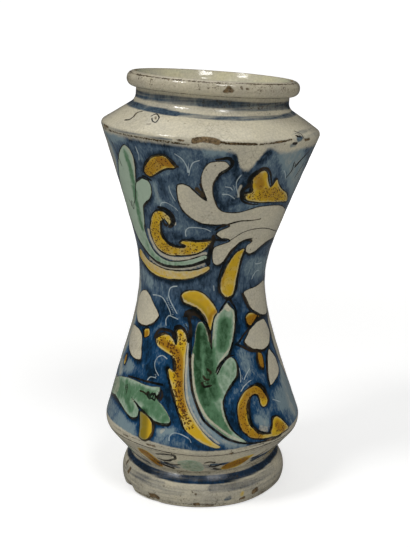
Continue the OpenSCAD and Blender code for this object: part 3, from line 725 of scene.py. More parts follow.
# Lengths too short to matter, steps that keep level heights in order, and the least that divides
TINY, HAIR, SPECK = 1e-6, 1e-9, 1e-12
# Corners this close to straight aren't rounded, in radians
STRAIGHT = 1e-4
# Widest turn between two points of an arc
ARC_TURN = math.radians(12)


def unit(v):
    return v / math.hypot(*v)


def cross(u, v):
    return u[0] * v[1] - u[1] * v[0]


def meet(p, u, q, v):
    """Where the line from p along u meets the line from q along v."""
    return p + u * cross(q - p, v) / cross(u, v)


def set_in(corners, depth):
    """The corners of a path that is moved to its left by a depth."""
    corners = [np.array(c, float) for c in corners]
    ways = [unit(b - a) for a, b in zip(corners, corners[1:])]
    lefts = [depth * np.array((-w[1], w[0])) for w in ways]
    moved = [corners[0] + lefts[0]]
    for i in range(1, len(ways)):
        moved.append(meet(corners[i] + lefts[i - 1], ways[i - 1], corners[i] + lefts[i], ways[i]))
    return moved + [corners[-1] + lefts[-1]]


def line_points(a, b, step):
    a, b = np.array(a), np.array(b)
    count = max(1, math.ceil(math.hypot(*(b - a)) / step))
    return [a + (b - a) * k / count for k in range(count + 1)]


def arc_points(centre, radius, start, sweep, step):
    count = max(2, math.ceil(abs(sweep) * radius / step), math.ceil(abs(sweep) / ARC_TURN))
    turns = [start + sweep * k / count for k in range(count + 1)]
    return [centre + radius * np.array((math.cos(t), math.sin(t))) for t in turns]


def round_corner(a, b, c, radius, step):
    """The arc that rounds corner b between a and c."""
    a, b, c = (np.array(p, float) for p in (a, b, c))
    u = unit(a - b)
    v = unit(c - b)
    half = math.acos(np.clip(u @ v, -1, 1)) / 2
    if radius < TINY or half > math.pi / 2 - STRAIGHT:
        return [b]
    centre = b + unit(u + v) * radius / math.sin(half)
    first = b + u * radius / math.tan(half) - centre
    last = b + v * radius / math.tan(half) - centre
    start = math.atan2(first[1], first[0])
    sweep = math.atan2(cross(first, last), first @ last)
    return arc_points(centre, radius, start, sweep, step)


def turned_path(corners, rounds, depth, step):
    """A path with rounded corners, set in by a depth: jutting corners lose it, hollow ones gain it."""
    corners = [np.array(c, float) for c in corners]
    moved = set_in(corners, depth)
    points = [moved[0]]
    for i in range(1, len(moved) - 1):
        juts = cross(corners[i] - corners[i - 1], corners[i + 1] - corners[i]) > 0
        radius = max(0.0, rounds[i] - depth) if juts else rounds[i] + depth
        arc = round_corner(moved[i - 1], moved[i], moved[i + 1], radius, step)
        points += line_points(points[-1], arc[0], step)[1:] + arc[1:]
    return np.array(points + line_points(points[-1], moved[-1], step)[1:])


def climbing(path):
    """A path's heights, each a hair above the last."""
    return path[:, 1] + np.arange(len(path)) * HAIR


def part_of(path, low, high):
    """The part of a climbing path between two heights."""
    inside = path[(path[:, 1] > low + TINY) & (path[:, 1] < high - TINY)]
    ends = [(np.interp(z, climbing(path), path[:, 0]), z) for z in (low, high)]
    return np.vstack([ends[0], inside, ends[1]])


def rest_of(path, low):
    """The part of a climbing path from a height to its own end."""
    return np.vstack([part_of(path, low, path[-1][1] - TINY)[:-1], path[-1:]])


class Profile:
    """The jar's outside and inside, as paths at any depth under their surfaces."""

    def __init__(self, shape):
        s = self.sizes = sizes(shape)
        self.clay_depth = s.glaze + s.wall
        self.joint_height = s.neck_height + (s.lip_height - s.neck_height) / 2 + s.slip
        self.crest_radius = s.lip_radius - s.lip_round
        groove = (s.groove_radius, s.foot_height)
        belly = np.array((s.belly_radius, s.belly_height))
        shoulder = np.array((s.shoulder_radius, s.shoulder_height))
        neck_foot = (s.neck_radius, s.neck_height)
        under_lip = (s.neck_radius, s.lip_height)
        waist = meet(belly, self.tangent(belly, 1), shoulder, self.tangent(shoulder, -1))
        crest = (self.crest_radius, s.top_height)
        self.body = [groove, belly, waist, shoulder, neck_foot, under_lip, (s.lip_radius, s.lip_height),
                     (s.lip_radius, s.top_height), crest]
        self.body_rounds = [0, s.belly_round, s.waist_curve, s.shoulder_round, s.neck_round,
                            s.under_lip_round, s.lip_round, s.lip_round, 0]
        inner = set_in([groove, belly, waist, shoulder, neck_foot, under_lip], self.clay_depth)
        throat = (s.neck_radius - self.clay_depth, s.top_height - s.flare_height)
        self.mouth = (self.crest_radius - s.bare_rim, s.top_height - s.glaze)
        self.cavity = inner[:5] + [throat, self.mouth]
        self.cavity_rounds = [0, s.inner_round, s.waist_curve + self.clay_depth, s.inner_round,
                              s.inner_round, s.flare_round, 0]
        self.foot_step_in = s.foot_radius - s.groove_radius
        self.foot_reach = s.foot_height - s.swell_height
        self.foot_curve = (self.foot_reach ** 2 + self.foot_step_in ** 2) / (2 * self.foot_step_in)

    def tangent(self, p, side):
        """The way from p along the line that just touches the waist's curve."""
        s = self.sizes
        way = np.array((s.waist_radius + s.waist_curve, s.waist_height)) - p
        turn = math.atan2(way[1], way[0]) + side * math.asin(s.waist_curve / math.hypot(*way))
        return np.array((math.cos(turn), math.sin(turn)))

    def foot(self, depth, step):
        """The foot's swelling side, from its bare edge to the groove."""
        s = self.sizes
        radius = self.foot_curve - depth
        centre = np.array((s.foot_radius - self.foot_curve, s.swell_height))
        low = math.asin((s.bare_edge - s.swell_height) / radius)
        high = math.asin(self.foot_reach / radius)
        return np.array(arc_points(centre, radius, low, high - low, step))

    def outside(self, depth, step):
        """The whole outside, from the bare edge of the foot to the crest of the lip."""
        body = turned_path(self.body, self.body_rounds, depth, step)
        return np.vstack([self.foot(depth, step)[:-1], part_of(body, self.sizes.foot_height, body[-1][1])])

    def inside(self, depth, step):
        """The whole inside, from the floor's edge to the mouth."""
        path = turned_path(self.cavity, self.cavity_rounds, depth, step)
        return part_of(path, self.sizes.foot_height + depth, path[-1][1])


# Turning: a section becomes a closed ware by Geometry Nodes


def turning_tree():
    """Sweeps a section round the wheel, welds the poles and gives the ware its finish."""
    tree = bpy.data.node_groups.new("turned on the wheel", "GeometryNodeTree")
    sockets = {}
    for name, kind in (("Section", "Geometry"), ("Sides", "Int"), ("Wheel Radius", "Float"),
                       ("Weld", "Float"), ("Finish", "Material")):
        sockets[name] = tree.interface.new_socket(name, in_out="INPUT", socket_type="NodeSocket" + kind)
    tree.interface.new_socket("Ware", in_out="OUTPUT", socket_type="NodeSocketGeometry")
    w = Wiring(tree)
    given = w.node("NodeGroupInput").outputs
    section = w.node("GeometryNodeMeshToCurve", {"Mesh": given["Section"]}).outputs["Curve"]
    circle = {"Resolution": given["Sides"], "Radius": given["Wheel Radius"]}
    wheel = w.node("GeometryNodeCurvePrimitiveCircle", circle).outputs["Curve"]
    ware = w.node("GeometryNodeCurveToMesh", {"Curve": wheel, "Profile Curve": section}).outputs["Mesh"]
    for step, inputs in (("MergeByDistance", {"Distance": given["Weld"]}), ("SetShadeSmooth", {}),
                         ("RealizeInstances", {}), ("SetMaterial", {"Material": given["Finish"]})):
        ware = w.node("GeometryNode" + step, {"Geometry": ware, **inputs}).outputs["Geometry"]
    w.node("NodeGroupOutput", {"Ware": ware})
    return tree, {name: socket.identifier for name, socket in sockets.items()}


WHEEL_RADIUS = 0.05
WELD = 1e-6
# Share of the bake map's height that the hidden back of a coat keeps
HIDDEN_SHARE = 0.1
SHARP = math.radians(40)


def turn_ware(name, section, closed, sides, material, shown=None):
    """Turns a section of (radius, height) points into an object. Its first points show, as many as said."""
    count = len(section)
    shown = count if shown is None else shown
    ring = np.vstack([section, section[:1]]) if closed else section
    steps = np.hypot(*np.diff(ring, axis=0).T)
    steps[shown - 1:] *= HIDDEN_SHARE
    run = np.concatenate([[0], np.cumsum(steps)])
    host = bpy.data.meshes.new(name)
    edges = [(i, i + 1) for i in range(count - 1)] + ([(count - 1, 0)] if closed else [])
    places = [(r * MM - WHEEL_RADIUS, -z * MM, 0) for r, z in section]
    host.from_pydata(places, edges, [])
    stations = host.attributes.new("station", "FLOAT", "POINT")
    stations.data.foreach_set("value", np.arange(count, dtype=float))
    ware = bpy.data.objects.new(name, host)
    bpy.context.scene.collection.objects.link(ware)
    tree, inputs = turning_tree()
    wheel = ware.modifiers.new("wheel", "NODES")
    wheel.node_group = tree
    wheel[inputs["Sides"]] = sides
    wheel[inputs["Wheel Radius"]] = WHEEL_RADIUS
    wheel[inputs["Weld"]] = WELD
    wheel[inputs["Finish"]] = material
    evaluated = ware.evaluated_get(bpy.context.evaluated_depsgraph_get())
    mesh = bpy.data.meshes.new_from_object(evaluated)
    ware.modifiers.clear()
    ware.data = mesh
    bpy.data.meshes.remove(host)
    bpy.data.node_groups.remove(tree)
    if signed_volume(mesh) < 0:
        mesh.flip_normals()
    lay_bake_map(mesh, run / run[-1], closed)
    return ware


def fetch(data, name, kind, width=1):
    """One value, or a few, of every element of a mesh."""
    values = np.empty(len(data) * width, kind)
    data.foreach_get(name, values)
    return values


def points_of(mesh):
    return fetch(mesh.vertices, "co", np.float32, 3).reshape(-1, 3).astype(float)


def stations_of(mesh):
    return np.rint(fetch(mesh.attributes["station"].data, "value", np.float32)).astype(int)


def signed_volume(mesh):
    mesh.calc_loop_triangles()
    corners = fetch(mesh.loop_triangles, "vertices", np.int32, 3)
    a, b, c = points_of(mesh)[corners.reshape(-1, 3)].transpose(1, 0, 2)
    return float(np.einsum("ij,ij->i", a, np.cross(b, c)).sum() / 6)


def turn_of(points):
    """Degrees round the jar from the painted front, positive to the viewer's right."""
    return np.degrees(np.arctan2(points[:, 0], -points[:, 1]))


def lay_bake_map(mesh, run, closed):
    """A map with the angle across and the section up, cut at the back."""
    points = points_of(mesh)
    corners = fetch(mesh.loops, "vertex_index", np.int32)
    face_sizes = fetch(mesh.polygons, "loop_total", np.int32)
    starts = np.concatenate([[0], np.cumsum(face_sizes)[:-1]])
    face = np.repeat(np.arange(len(face_sizes)), face_sizes)
    across = (turn_of(points) / 360 + 0.5)[corners]
    up = run[stations_of(mesh)][corners]
    at_pole = (np.hypot(points[:, 0], points[:, 1]) < WELD)[corners]
    for values, wraps in ((across, True), (up, closed)):
        widest = np.maximum.reduceat(values, starts) - np.minimum.reduceat(values, starts)
        if wraps:
            values[(widest[face] > 0.5) & (values < 0.25)] += 1
    middle = np.add.reduceat(np.where(at_pole, 0, across), starts) / np.add.reduceat(~at_pole, starts)
    across[at_pole] = middle[face][at_pole]
    layer = mesh.uv_layers.new(name=BAKE_MAP)
    layer.data.foreach_set("uv", np.stack([across, up], 1).ravel())


# Settling: what the potter's hand, the firing and wear did to the turned jar


def ease(x, low, high):
    t = np.clip((x - low) / (high - low), 0, 1)
    return t * t * (3 - 2 * t)


def hump(x, middle, reach):
    return np.exp(-((x - middle) / reach) ** 2)


# Uneven throwing: waves round the jar, their rise with height per millimetre, phase and share
WAVES = ((2, 0.021, 0.4, 0.5), (3, -0.017, 2.1, 0.3), (5, 0.034, 4.0, 0.2), (0, 0.55, 0.0, 0.25),
         (1, 0.83, 1.3, 0.15))
# Pieces knocked off the foot: angle, height, half-width in degrees, half-height and depth in millimetres
KNOCKS = ((-66, 0, 5.5, 3.6, 2.6), (58, 0, 22, 5.0, 1.6), (-36, 0, 4, 3.0, 0.5))
# Heights over which the unevenness sets in above the table
WOBBLE_START = (1, 8)
# How far inside the foot's edge a knock reaches its depth
KNOCK_EDGE = 3
# Where the cones are fuller: height from the waist, and reach
FULLER = ((-17, 12), (28, 14))
# The belly's tilt starts below the groove and fades from above the belly
TILT_BELOW, TILT_ABOVE = 2, 8
# The lip's tilt starts above the shoulder
NOD_ABOVE = 4
# Reach of the sway at the waist, and height and reach of the one above the belly
WAIST_SWAY_REACH = 15
BELLY_SWAY_AT, BELLY_SWAY_REACH = 75, 24


def settle(points, hand, profile):
    """Moves points of the straight jar, in millimetres, to where they lie on the finished one."""
    s = profile.sizes
    h = sizes(hand)
    turn = turn_of(points)
    z = points[:, 2]
    radius = np.maximum(np.hypot(points[:, 0], points[:, 1]), HAIR)
    swell = sum(share * np.cos(np.radians(n * turn) + rise * z + phase) for n, rise, phase, share in WAVES)
    swell *= h.wobble * ease(z, *WOBBLE_START) * np.clip(radius / s.waist_radius, 0, 1)
    outer = ease(radius, s.hollow_radius, s.foot_radius - KNOCK_EDGE)
    for at, height, half_width, half_height, depth in KNOCKS:
        swell -= depth * outer * hump(turn, at, half_width) * hump(z, height, half_height)
    swell += h.fullness * sum(hump(z, s.waist_height + at, reach) for at, reach in FULLER)
    x = points[:, 0] * (1 + swell / radius)
    y = points[:, 1] * (1 + swell / radius)
    ridge = ease(z, s.foot_height - TILT_BELOW, s.belly_height)
    ridge = ridge * (1 - ease(z, s.belly_height + TILT_ABOVE, s.waist_height))
    z = z - h.belly_tilt * x * ridge
    loose = ease(z, s.shoulder_height + NOD_ABOVE, s.lip_height)
    z = z - loose * (h.lip_tilt * x + h.lip_nod * y)
    x = x + h.waist_sway * hump(z, s.waist_height, WAIST_SWAY_REACH)
    x = x + h.belly_sway * hump(z, BELLY_SWAY_AT, BELLY_SWAY_REACH)
    x = x + h.body_lean * np.maximum(z - s.foot_height, 0)
    low = s.waist_height - h.bend_reach
    share = np.clip((z - low) / (2 * h.bend_reach), 0, 1)
    lean = h.lean * share
    curve = 2 * h.bend_reach / h.lean
    past = np.maximum(z - low - 2 * h.bend_reach, 0)
    centre_x = curve * (1 - np.cos(lean)) + past * np.sin(lean)
    centre_z = np.minimum(z, low) + curve * np.sin(lean) + past * np.cos(lean)
    return np.stack([centre_x + x * np.cos(lean), y, centre_z - x * np.sin(lean)], 1)


def seat(ware, hand, profile, pushed=0.0):
    """Settles a ware's mesh, after pushing its points towards the axis."""
    mesh = ware.data
    points = points_of(mesh) / MM
    radius = np.maximum(np.hypot(points[:, 0], points[:, 1]), HAIR)
    points[:, :2] *= (1 - pushed / radius)[:, None]
    places = settle(points, hand, profile) * MM
    mesh.vertices.foreach_set("co", places.astype(np.float32).ravel())
    mesh.update()
    mesh.set_sharp_from_angle(angle=SHARP)


# Painting: distances and masks at each point of the coat, which the glaze's material turns into paint


# Pieces that a curve has between two given points, and how far its ends pull
CURVE_CUTS, CURVE_PULL = 4, 0.42
# The blue beside a leaf: least strength, what the heavy side adds, where it starts to fade, and its reach
POOL_LEAST, POOL_HEAVY, POOL_START, POOL_REACH = 0.35, 0.55, 0.8, 1.7
# How far beyond its edge a brush line is still felt in full
LINE_MARGIN = 1.2
# Half-widths of a scratched line at its start and end
SCRATCH = (0.30, 0.21)


def smooth(points, closed):
    """A curve through given points."""
    p = np.array(points, float)
    if closed:
        before, after, beyond = np.roll(p, 1, 0), np.roll(p, -1, 0), np.roll(p, -2, 0)
    else:
        padded = np.vstack([p[:1], p, p[-1:]])
        before, p, after, beyond = padded[:-3], p[:-1], padded[2:-1], padded[3:]
    rows = []
    for k in range(CURVE_CUTS):
        t = k / CURVE_CUTS
        rows.append((2 * t ** 3 - 3 * t ** 2 + 1) * p + (3 * t ** 2 - 2 * t ** 3) * after
                    + (t ** 3 - 2 * t ** 2 + t) * CURVE_PULL * (after - before)
                    + (t ** 3 - t ** 2) * CURVE_PULL * (beyond - p))
    curve = np.stack(rows, 1).reshape(-1, 2)
    return curve if closed else np.vstack([curve, points[-1]])


class Coat:
    """The points of a painted coat, and the fields of paint on them."""

    def __init__(self, turn, run, radius, heights, runs):
        # The back repeats the front as in a mirror
        self.turn = np.where(np.abs(turn) > 90, np.sign(turn) * 180 - turn, turn)
        self.run, self.radius = run, radius
        self.heights, self.runs = heights, runs
        starts = {-REACH: ("white", "green", "yellow", "line_width", "scratch_width", *EDGES),
                  REACH: ("line_side", "scratch_side"), 0.0: ("outline_width", *SOFT_MASKS)}
        self.fields = {name: np.full(len(turn), start) for start, names in starts.items() for name in names}
        self.nearest = {kind: np.full(len(turn), REACH) for kind in ("outline", "line", "scratch")}

    def place(self, points, closed):
        """A path's curve, with lengths along the wall in place of heights."""
        curve = smooth(points, closed) if len(points) > 1 else np.array(points, float)
        return np.stack([curve[:, 0], np.interp(curve[:, 1], self.heights, self.runs)], 1)

    def near(self, curve, reach):
        """The points that lie close to a curve."""
        per_degree = np.radians(self.radius)
        low, high = curve.min(0), curve.max(0)
        return np.nonzero((self.run > low[1] - reach) & (self.run < high[1] + reach)
                          & ((self.turn - low[0]) * per_degree > -reach)
                          & ((self.turn - high[0]) * per_degree < reach))[0]

    def measure(self, curve, closed, chosen):
        """Distance to a curve, whether points are inside it, the way to it, its side and how far along."""
        per_degree = np.radians(self.radius[chosen])[:, None]
        x = (curve[None, :, 0] - self.turn[chosen, None]) * per_degree
        y = curve[None, :, 1] - self.run[chosen, None]
        if len(curve) == 1:
            return SimpleNamespace(distance=np.hypot(x[:, 0], y[:, 0]))
        if closed:
            x2, y2 = np.roll(x, -1, 1), np.roll(y, -1, 1)
        else:
            x, y, x2, y2 = x[:, :-1], y[:, :-1], x[:, 1:], y[:, 1:]
        dx, dy = x2 - x, y2 - y
        t = np.clip(-(x * dx + y * dy) / np.maximum(dx * dx + dy * dy, SPECK), 0, 1)
        qx, qy = x + t * dx, y + t * dy
        k = np.argmin(qx * qx + qy * qy, 1)
        row = np.arange(len(chosen))
        qx, qy, dx_k, dy_k = qx[row, k], qy[row, k], dx[row, k], dy[row, k]
        crossing = ((y > 0) != (y2 > 0)) & (x - y * dx / np.where(dy == 0, SPECK, dy) > 0)
        return SimpleNamespace(
            distance=np.hypot(qx, qy), inside=crossing.sum(1) % 2 == 1, way=(qx, qy),
            side=np.sign(dy_k * qx - dx_k * qy), along=(k + t[row, k]) / dx.shape[1],
            past=np.where((k + t[row, k] <= 0) | (k + t[row, k] >= dx.shape[1]), 1.0, 0.0))

    def leaf(self, fill, line, heavy, side, outline):
        curve = self.place(outline, True)
        chosen = self.near(curve, REACH)
        m = self.measure(curve, True, chosen)
        signed = np.where(m.inside, m.distance, -m.distance)
        field = self.fields[fill]
        field[chosen] = np.maximum(field[chosen], signed)
        out = np.where(m.inside, 1, -1) / np.maximum(m.distance, HAIR)
        heavy_way = math.radians(side)
        facing = (m.way[0] * math.cos(heavy_way) + m.way[1] * math.sin(heavy_way)) * out
        width = line + heavy * np.clip(facing, 0, 1)
        nearest = self.nearest["outline"]
        closer = m.distance < nearest[chosen]
        nearest[chosen[closer]] = m.distance[closer]
        self.fields["outline_width"][chosen[closer]] = width[closer]
        # The blue pools on the heavy side of a leaf
        pool = POOL_LEAST + POOL_HEAVY * np.clip(facing, 0, 1)
        pool = pool * hump(np.maximum(m.distance - POOL_START, 0), 0, POOL_REACH)
        deep = self.fields["deep_blue"]
        deep[chosen] = np.maximum(deep[chosen], np.where(m.inside, 0, pool * (heavy > 0)))

    def stroke(self, kind, start, end, path):
        curve = self.place(path, False)
        chosen = self.near(curve, REACH)
        m = self.measure(curve, False, chosen)
        width = start + (end - start) * m.along
        beyond = np.maximum(m.distance - width - LINE_MARGIN, 0) + m.past * m.distance
        nearest = self.nearest[kind]
        closer = m.distance - width < nearest[chosen]
        at = chosen[closer]
        nearest[at] = (m.distance - width)[closer]
        self.fields[kind + "_side"][at] = (m.distance * np.where(m.side == 0, 1, m.side))[closer]
        self.fields[kind + "_width"][at] = (width - beyond)[closer]

    def wash(self, kind, strength, half_width, path):
        curve = self.place(path, False)
        soft = SOFT_MASKS.get(kind, REACH)
        chosen = self.near(curve, half_width + soft)
        edge = half_width - self.measure(curve, False, chosen).distance
        if kind in EDGES:
            value = np.minimum(edge, (2 * strength - 1) * EDGE_SOFTNESS if strength < 1 else REACH)
        else:
            value = strength * ease(edge, -soft, soft)
        field = self.fields[kind]
        field[chosen] = np.maximum(field[chosen], value)

    def ground(self, foot, head):
        """Distance inside the blue ground's two edges."""
        lines = [self.place(points, False) for points in (foot, head)]
        low, high = (np.interp(self.turn, line[:, 0], line[:, 1]) for line in lines)
        self.fields["blue"] = np.clip(np.minimum(self.run - low, high - self.run), -REACH, REACH)

    def paint(self):
        for leaf in LOWER_LEAVES + UPPER_LEAVES:
            self.leaf(*leaf)
        for line in BRUSH_LINES:
            self.stroke("line", *line)
        for path in SCRATCHED_LINES:
            self.stroke("scratch", *SCRATCH, path)
        for kind, washes in WASHES.items():
            for wash in washes:
                self.wash(kind, *wash)
        self.ground(GROUND_FOOT, GROUND_HEAD)


# The attributes that carry the fields to the material, three fields in each
PAINT_ATTRIBUTES = {
    "leaves": ("white", "green", "yellow"),
    "lines": ("outline_width", "line_side", "line_width"),
    "scratches": ("scratch_side", "scratch_width", "light"),
    "washes": ("deep_green", "stipple", "ochre"),
    "grounds": ("blue", "deep_blue", "thin_blue_and_sheen"),
    # The third field of wear carries dirt and painted shade
    "wear": ("bare", "band", "dirt_and_shade"),
}


def paint_coat(ware, path, shown):
    """Stores the painting on a turned coat, and returns how far inside a chip each point lies."""
    mesh = ware.data
    points = points_of(mesh) / MM
    stations = stations_of(mesh)
    outer = np.nonzero(stations < shown)[0]
    runs = np.concatenate([[0], np.cumsum(np.hypot(*np.diff(path, axis=0).T))])
    heights = climbing(path)
    own = points[outer]
    run = np.interp(own[:, 2], heights, runs)
    coat = Coat(turn_of(own), run, np.hypot(own[:, 0], own[:, 1]), heights, runs)
    coat.paint()
    bare = np.full(len(points), -REACH)
    bare[outer] = coat.fields["bare"]
    for name, fields in PAINT_ATTRIBUTES.items():
        values = np.zeros((len(points), 3), np.float32)
        values[outer] = np.stack([coat.fields[f] for f in fields], 1)
        mesh.attributes.new(name, "FLOAT_VECTOR", "POINT").data.foreach_set("vector", values.ravel())
    return bare


# Materials: scales of noise are per metre


CRACK, PIT, GRIT = (0.12, 0.085, 0.055), (0.06, 0.04, 0.025), (0.42, 0.30, 0.19)
# Scales of noise across and up the jar
STROKE_GRAIN, FINE_GRAIN = (230, 230, 85), (800, 800, 330)
STREAK_GRAIN, RING_GRAIN = (26, 26, 700), (12, 12, 160)
# Heights in metres over which the upper ground, the slate tint and the foot's dullness set in
UPPER_FADE, SLATE_FADE, DULL_FADE = (0.125, 0.165), (0.100, 0.130), (0.030, 0.015)
# Heights of the finest relief, in millimetres, and how strongly each surface mirrors
CLAY_RELIEF, LINING_RELIEF, PAINT_RELIEF = 0.25, 0.12, 0.14
CLAY_SHINE, PAINT_SHINE, FLOOR_SHINE = 0.25, 0.38, 0.1
FLOOR_ROUGHNESS = 0.9


class Wiring:
    """Adds nodes to a tree and gives back their sockets."""

    def __init__(self, tree):
        self.tree = tree
        self.link = tree.links.new

    def node(self, kind, inputs=(), **settings):
        node = self.tree.nodes.new(kind)
        for name, value in settings.items():
            setattr(node, name, value)
        for key, value in dict(inputs).items():
            socket = node.inputs[key]
            if isinstance(value, bpy.types.NodeSocket):
                self.link(value, socket)
            else:
                socket.default_value = (*value, 1) if socket.type == "RGBA" else value
        return node

    def maths(self, operation, a, b=0.0, c=0.0):
        return self.node("ShaderNodeMath", {0: a, 1: b, 2: c}, operation=operation).outputs[0]

    def add(self, a, b):
        return self.maths("ADD", a, b)

    def less(self, a, b):
        return self.maths("SUBTRACT", a, b)

    def times(self, a, b):
        return self.maths("MULTIPLY", a, b)

    def scaled(self, value, by, base):
        """A value times a factor, on top of a base."""
        return self.maths("MULTIPLY_ADD", value, by, base)

    def most(self, *values):
        return reduce(lambda a, b: self.maths("MAXIMUM", a, b), values)

    def least(self, *values):
        return reduce(lambda a, b: self.maths("MINIMUM", a, b), values)

    def size(self, value):
        return self.maths("ABSOLUTE", value)

    def ramp(self, value, low, high, to_low=0.0, to_high=1.0):
        """A value eased from one range to another."""
        inputs = {"Value": value, 1: low, 2: high, 3: to_low, 4: to_high}
        return self.node("ShaderNodeMapRange", inputs, interpolation_type="SMOOTHSTEP").outputs[0]

    def mix(self, factor, a, b, blend="MIX"):
        node = self.node("ShaderNodeMix", {0: factor, 6: a, 7: b}, data_type="RGBA", blend_type=blend)
        return node.outputs[2]

    def place(self):
        return self.node("ShaderNodeTexCoord").outputs["Object"]

    def noise(self, vector, scale, detail=2.0, distortion=0.0):
        inputs = {"Vector": vector, "Scale": scale, "Detail": detail, "Distortion": distortion}
        return self.node("ShaderNodeTexNoise", inputs).outputs["Fac"]

    def scattered(self, vector, scale, by):
        """Places moved by up to some metres of noise."""
        noise = self.node("ShaderNodeTexNoise", {"Vector": vector, "Scale": scale}).outputs["Color"]
        inputs = {0: noise, 1: (by,) * 3, 2: vector}
        return self.node("ShaderNodeVectorMath", inputs, operation="MULTIPLY_ADD").outputs[0]

    def cells(self, vector, scale, feature="F1"):
        """Distance to the middles or the edges of scattered cells."""
        cells = self.node("ShaderNodeTexVoronoi", {"Vector": vector, "Scale": scale}, feature=feature)
        return cells.outputs["Distance"]

    def stretched(self, vector, scale):
        return self.node("ShaderNodeMapping", {"Vector": vector, "Scale": scale}).outputs[0]

    def fields(self, name):
        """The three fields of a paint attribute."""
        attribute = self.node("ShaderNodeAttribute", attribute_name=name, attribute_type="GEOMETRY")
        return self.node("ShaderNodeSeparateXYZ", {0: attribute.outputs["Vector"]}).outputs

    def group(self, tree, **inputs):
        named = {name.replace("_", " "): value for name, value in inputs.items()}
        return self.node("ShaderNodeGroup", named, node_tree=tree).outputs


def shader_group(name, inputs, outputs):
    """An empty shader group with named sockets, or None if it is there already."""
    if name in bpy.data.node_groups:
        return None, None, None
    tree = bpy.data.node_groups.new(name, "ShaderNodeTree")
    for in_out, sockets in (("INPUT", inputs), ("OUTPUT", outputs)):
        for socket, kind in sockets.items():
            tree.interface.new_socket(socket, in_out=in_out, socket_type="NodeSocket" + kind)
    wiring = Wiring(tree)
    return wiring, wiring.node("NodeGroupInput").outputs, wiring.node("NodeGroupOutput").inputs


def brushed_edge():
    """Turns a distance in millimetres into paint with a soft, wandering edge."""
    w, given, out = shader_group(
        "brushed edge", {"Distance": "Float", "Softness": "Float", "Wander": "Float"}, {"Paint": "Float"})
    if w:
        sway = w.less(w.noise(w.place(), 520, 3), 0.5)
        edge = w.scaled(sway, w.times(given["Wander"], 2), given["Distance"])
        low = w.times(given["Softness"], -1)
        w.link(w.ramp(edge, low, given["Softness"]), out["Paint"])
    return bpy.data.node_groups["brushed edge"]


def aged_glaze():
    """Tin glaze that is mottled, crazed and pitted."""
    w, given, out = shader_group(
        "aged glaze", {"Colour": "Color", "Thin Colour": "Color", "Craze": "Float"},
        {"Colour": "Color", "Height": "Float", "Roughness": "Float"})
    if w:
        place = w.place()
        cloud = w.ramp(w.noise(place, 70, 4, 0.4), 0.30, 0.72)
        grain = w.noise(place, 900, 2)
        body = w.mix(w.times(cloud, 0.75), given["Colour"], given["Thin Colour"])
        shade = w.ramp(grain, 0.25, 0.75, 0.86, 1.08)
        grey = w.node("ShaderNodeCombineColor", {0: shade, 1: shade, 2: shade}).outputs[0]
        body = w.mix(1.0, body, grey, "MULTIPLY")
        bent = w.scattered(place, 300, 0.0012)
        crack = w.ramp(w.cells(bent, 330, "DISTANCE_TO_EDGE"), 0.012, 0.045, 1.0, 0.0)
        crack = w.times(w.times(crack, given["Craze"]), w.ramp(w.noise(place, 45, 2), 0.35, 0.65))
        body = w.mix(w.times(crack, 0.55), body, CRACK)
        pit = w.times(w.ramp(w.cells(place, 260), 0.06, 0.13, 1.0, 0.0),
                      w.ramp(w.noise(place, 120, 1), 0.50, 0.60))
        body = w.mix(w.times(pit, 0.8), body, PIT)
        relief = w.less(w.times(w.noise(place, 260, 2), 0.5), w.add(w.times(crack, 0.25), pit))
        w.link(body, out["Colour"])
        w.link(relief, out["Height"])
        w.link(w.ramp(w.noise(place, 150, 3), 0.3, 0.7, 0.06, 0.16), out["Roughness"])
    return bpy.data.node_groups["aged glaze"]


def fired_clay():
    """Coarse fired clay with grit and dark stains."""
    w, given, out = shader_group(
        "fired clay", {"Colour": "Color", "Stain": "Color", "Stain Amount": "Float"},
        {"Colour": "Color", "Height": "Float", "Roughness": "Float"})
    if w:
        place = w.place()
        stain = w.times(w.ramp(w.noise(place, 480, 4, 0.6), 0.36, 0.62), given["Stain Amount"])
        grit = w.ramp(w.cells(place, 1400), 0.15, 0.5, 1.0, 0.0)
        body = w.mix(stain, given["Colour"], given["Stain"])
        body = w.mix(w.times(grit, 0.35), body, GRIT)
        w.link(body, out["Colour"])
        w.link(w.noise(place, 1100, 4), out["Height"])
        w.link(w.ramp(w.noise(place, 600, 2), 0.3, 0.7, 0.70, 0.92), out["Roughness"])
    return bpy.data.node_groups["fired clay"]


def new_material(name):
    material = bpy.data.materials.new(name)
    material.use_nodes = True
    tree = material.node_tree
    tree.nodes.clear()
    w = Wiring(tree)
    surface = w.node("ShaderNodeBsdfPrincipled")
    out = w.node("ShaderNodeOutputMaterial", {"Surface": surface.outputs[0]})
    out.is_active_output = True
    return material, w, surface.inputs


def finish(w, surface, colour_socket, roughness, height, relief):
    """Links colour, roughness and a bump of some millimetres to the shader."""
    bump = w.node("ShaderNodeBump", {"Height": height, "Distance": relief * MM, "Strength": 1.0})
    w.link(colour_socket, surface["Base Color"])
    w.link(roughness, surface["Roughness"])
    w.link(bump.outputs[0], surface["Normal"])


def clay_material(paint, name, body_colour, stain_amount):
    material, w, surface = new_material(name)
    clay = w.group(fired_clay(), Colour=body_colour, Stain=paint.dark_clay_and_shade, Stain_Amount=stain_amount)
    surface["Specular IOR Level"].default_value = CLAY_SHINE
    finish(w, surface, clay["Colour"], clay["Roughness"], clay["Height"], CLAY_RELIEF)
    return material


def lining_material(paint):
    material, w, surface = new_material("lining glaze")
    glaze = w.group(aged_glaze(), Colour=paint.lining, Thin_Colour=paint.cream_grey, Craze=0.2)
    rings = w.noise(w.stretched(w.place(), RING_GRAIN), 1.0, 2)
    tinted = w.mix(w.ramp(rings, 0.35, 0.7, 0.0, 0.35), glaze["Colour"], paint.green_pale)
    finish(w, surface, tinted, glaze["Roughness"], w.scaled(rings, 3.0, glaze["Height"]), LINING_RELIEF)
    return material


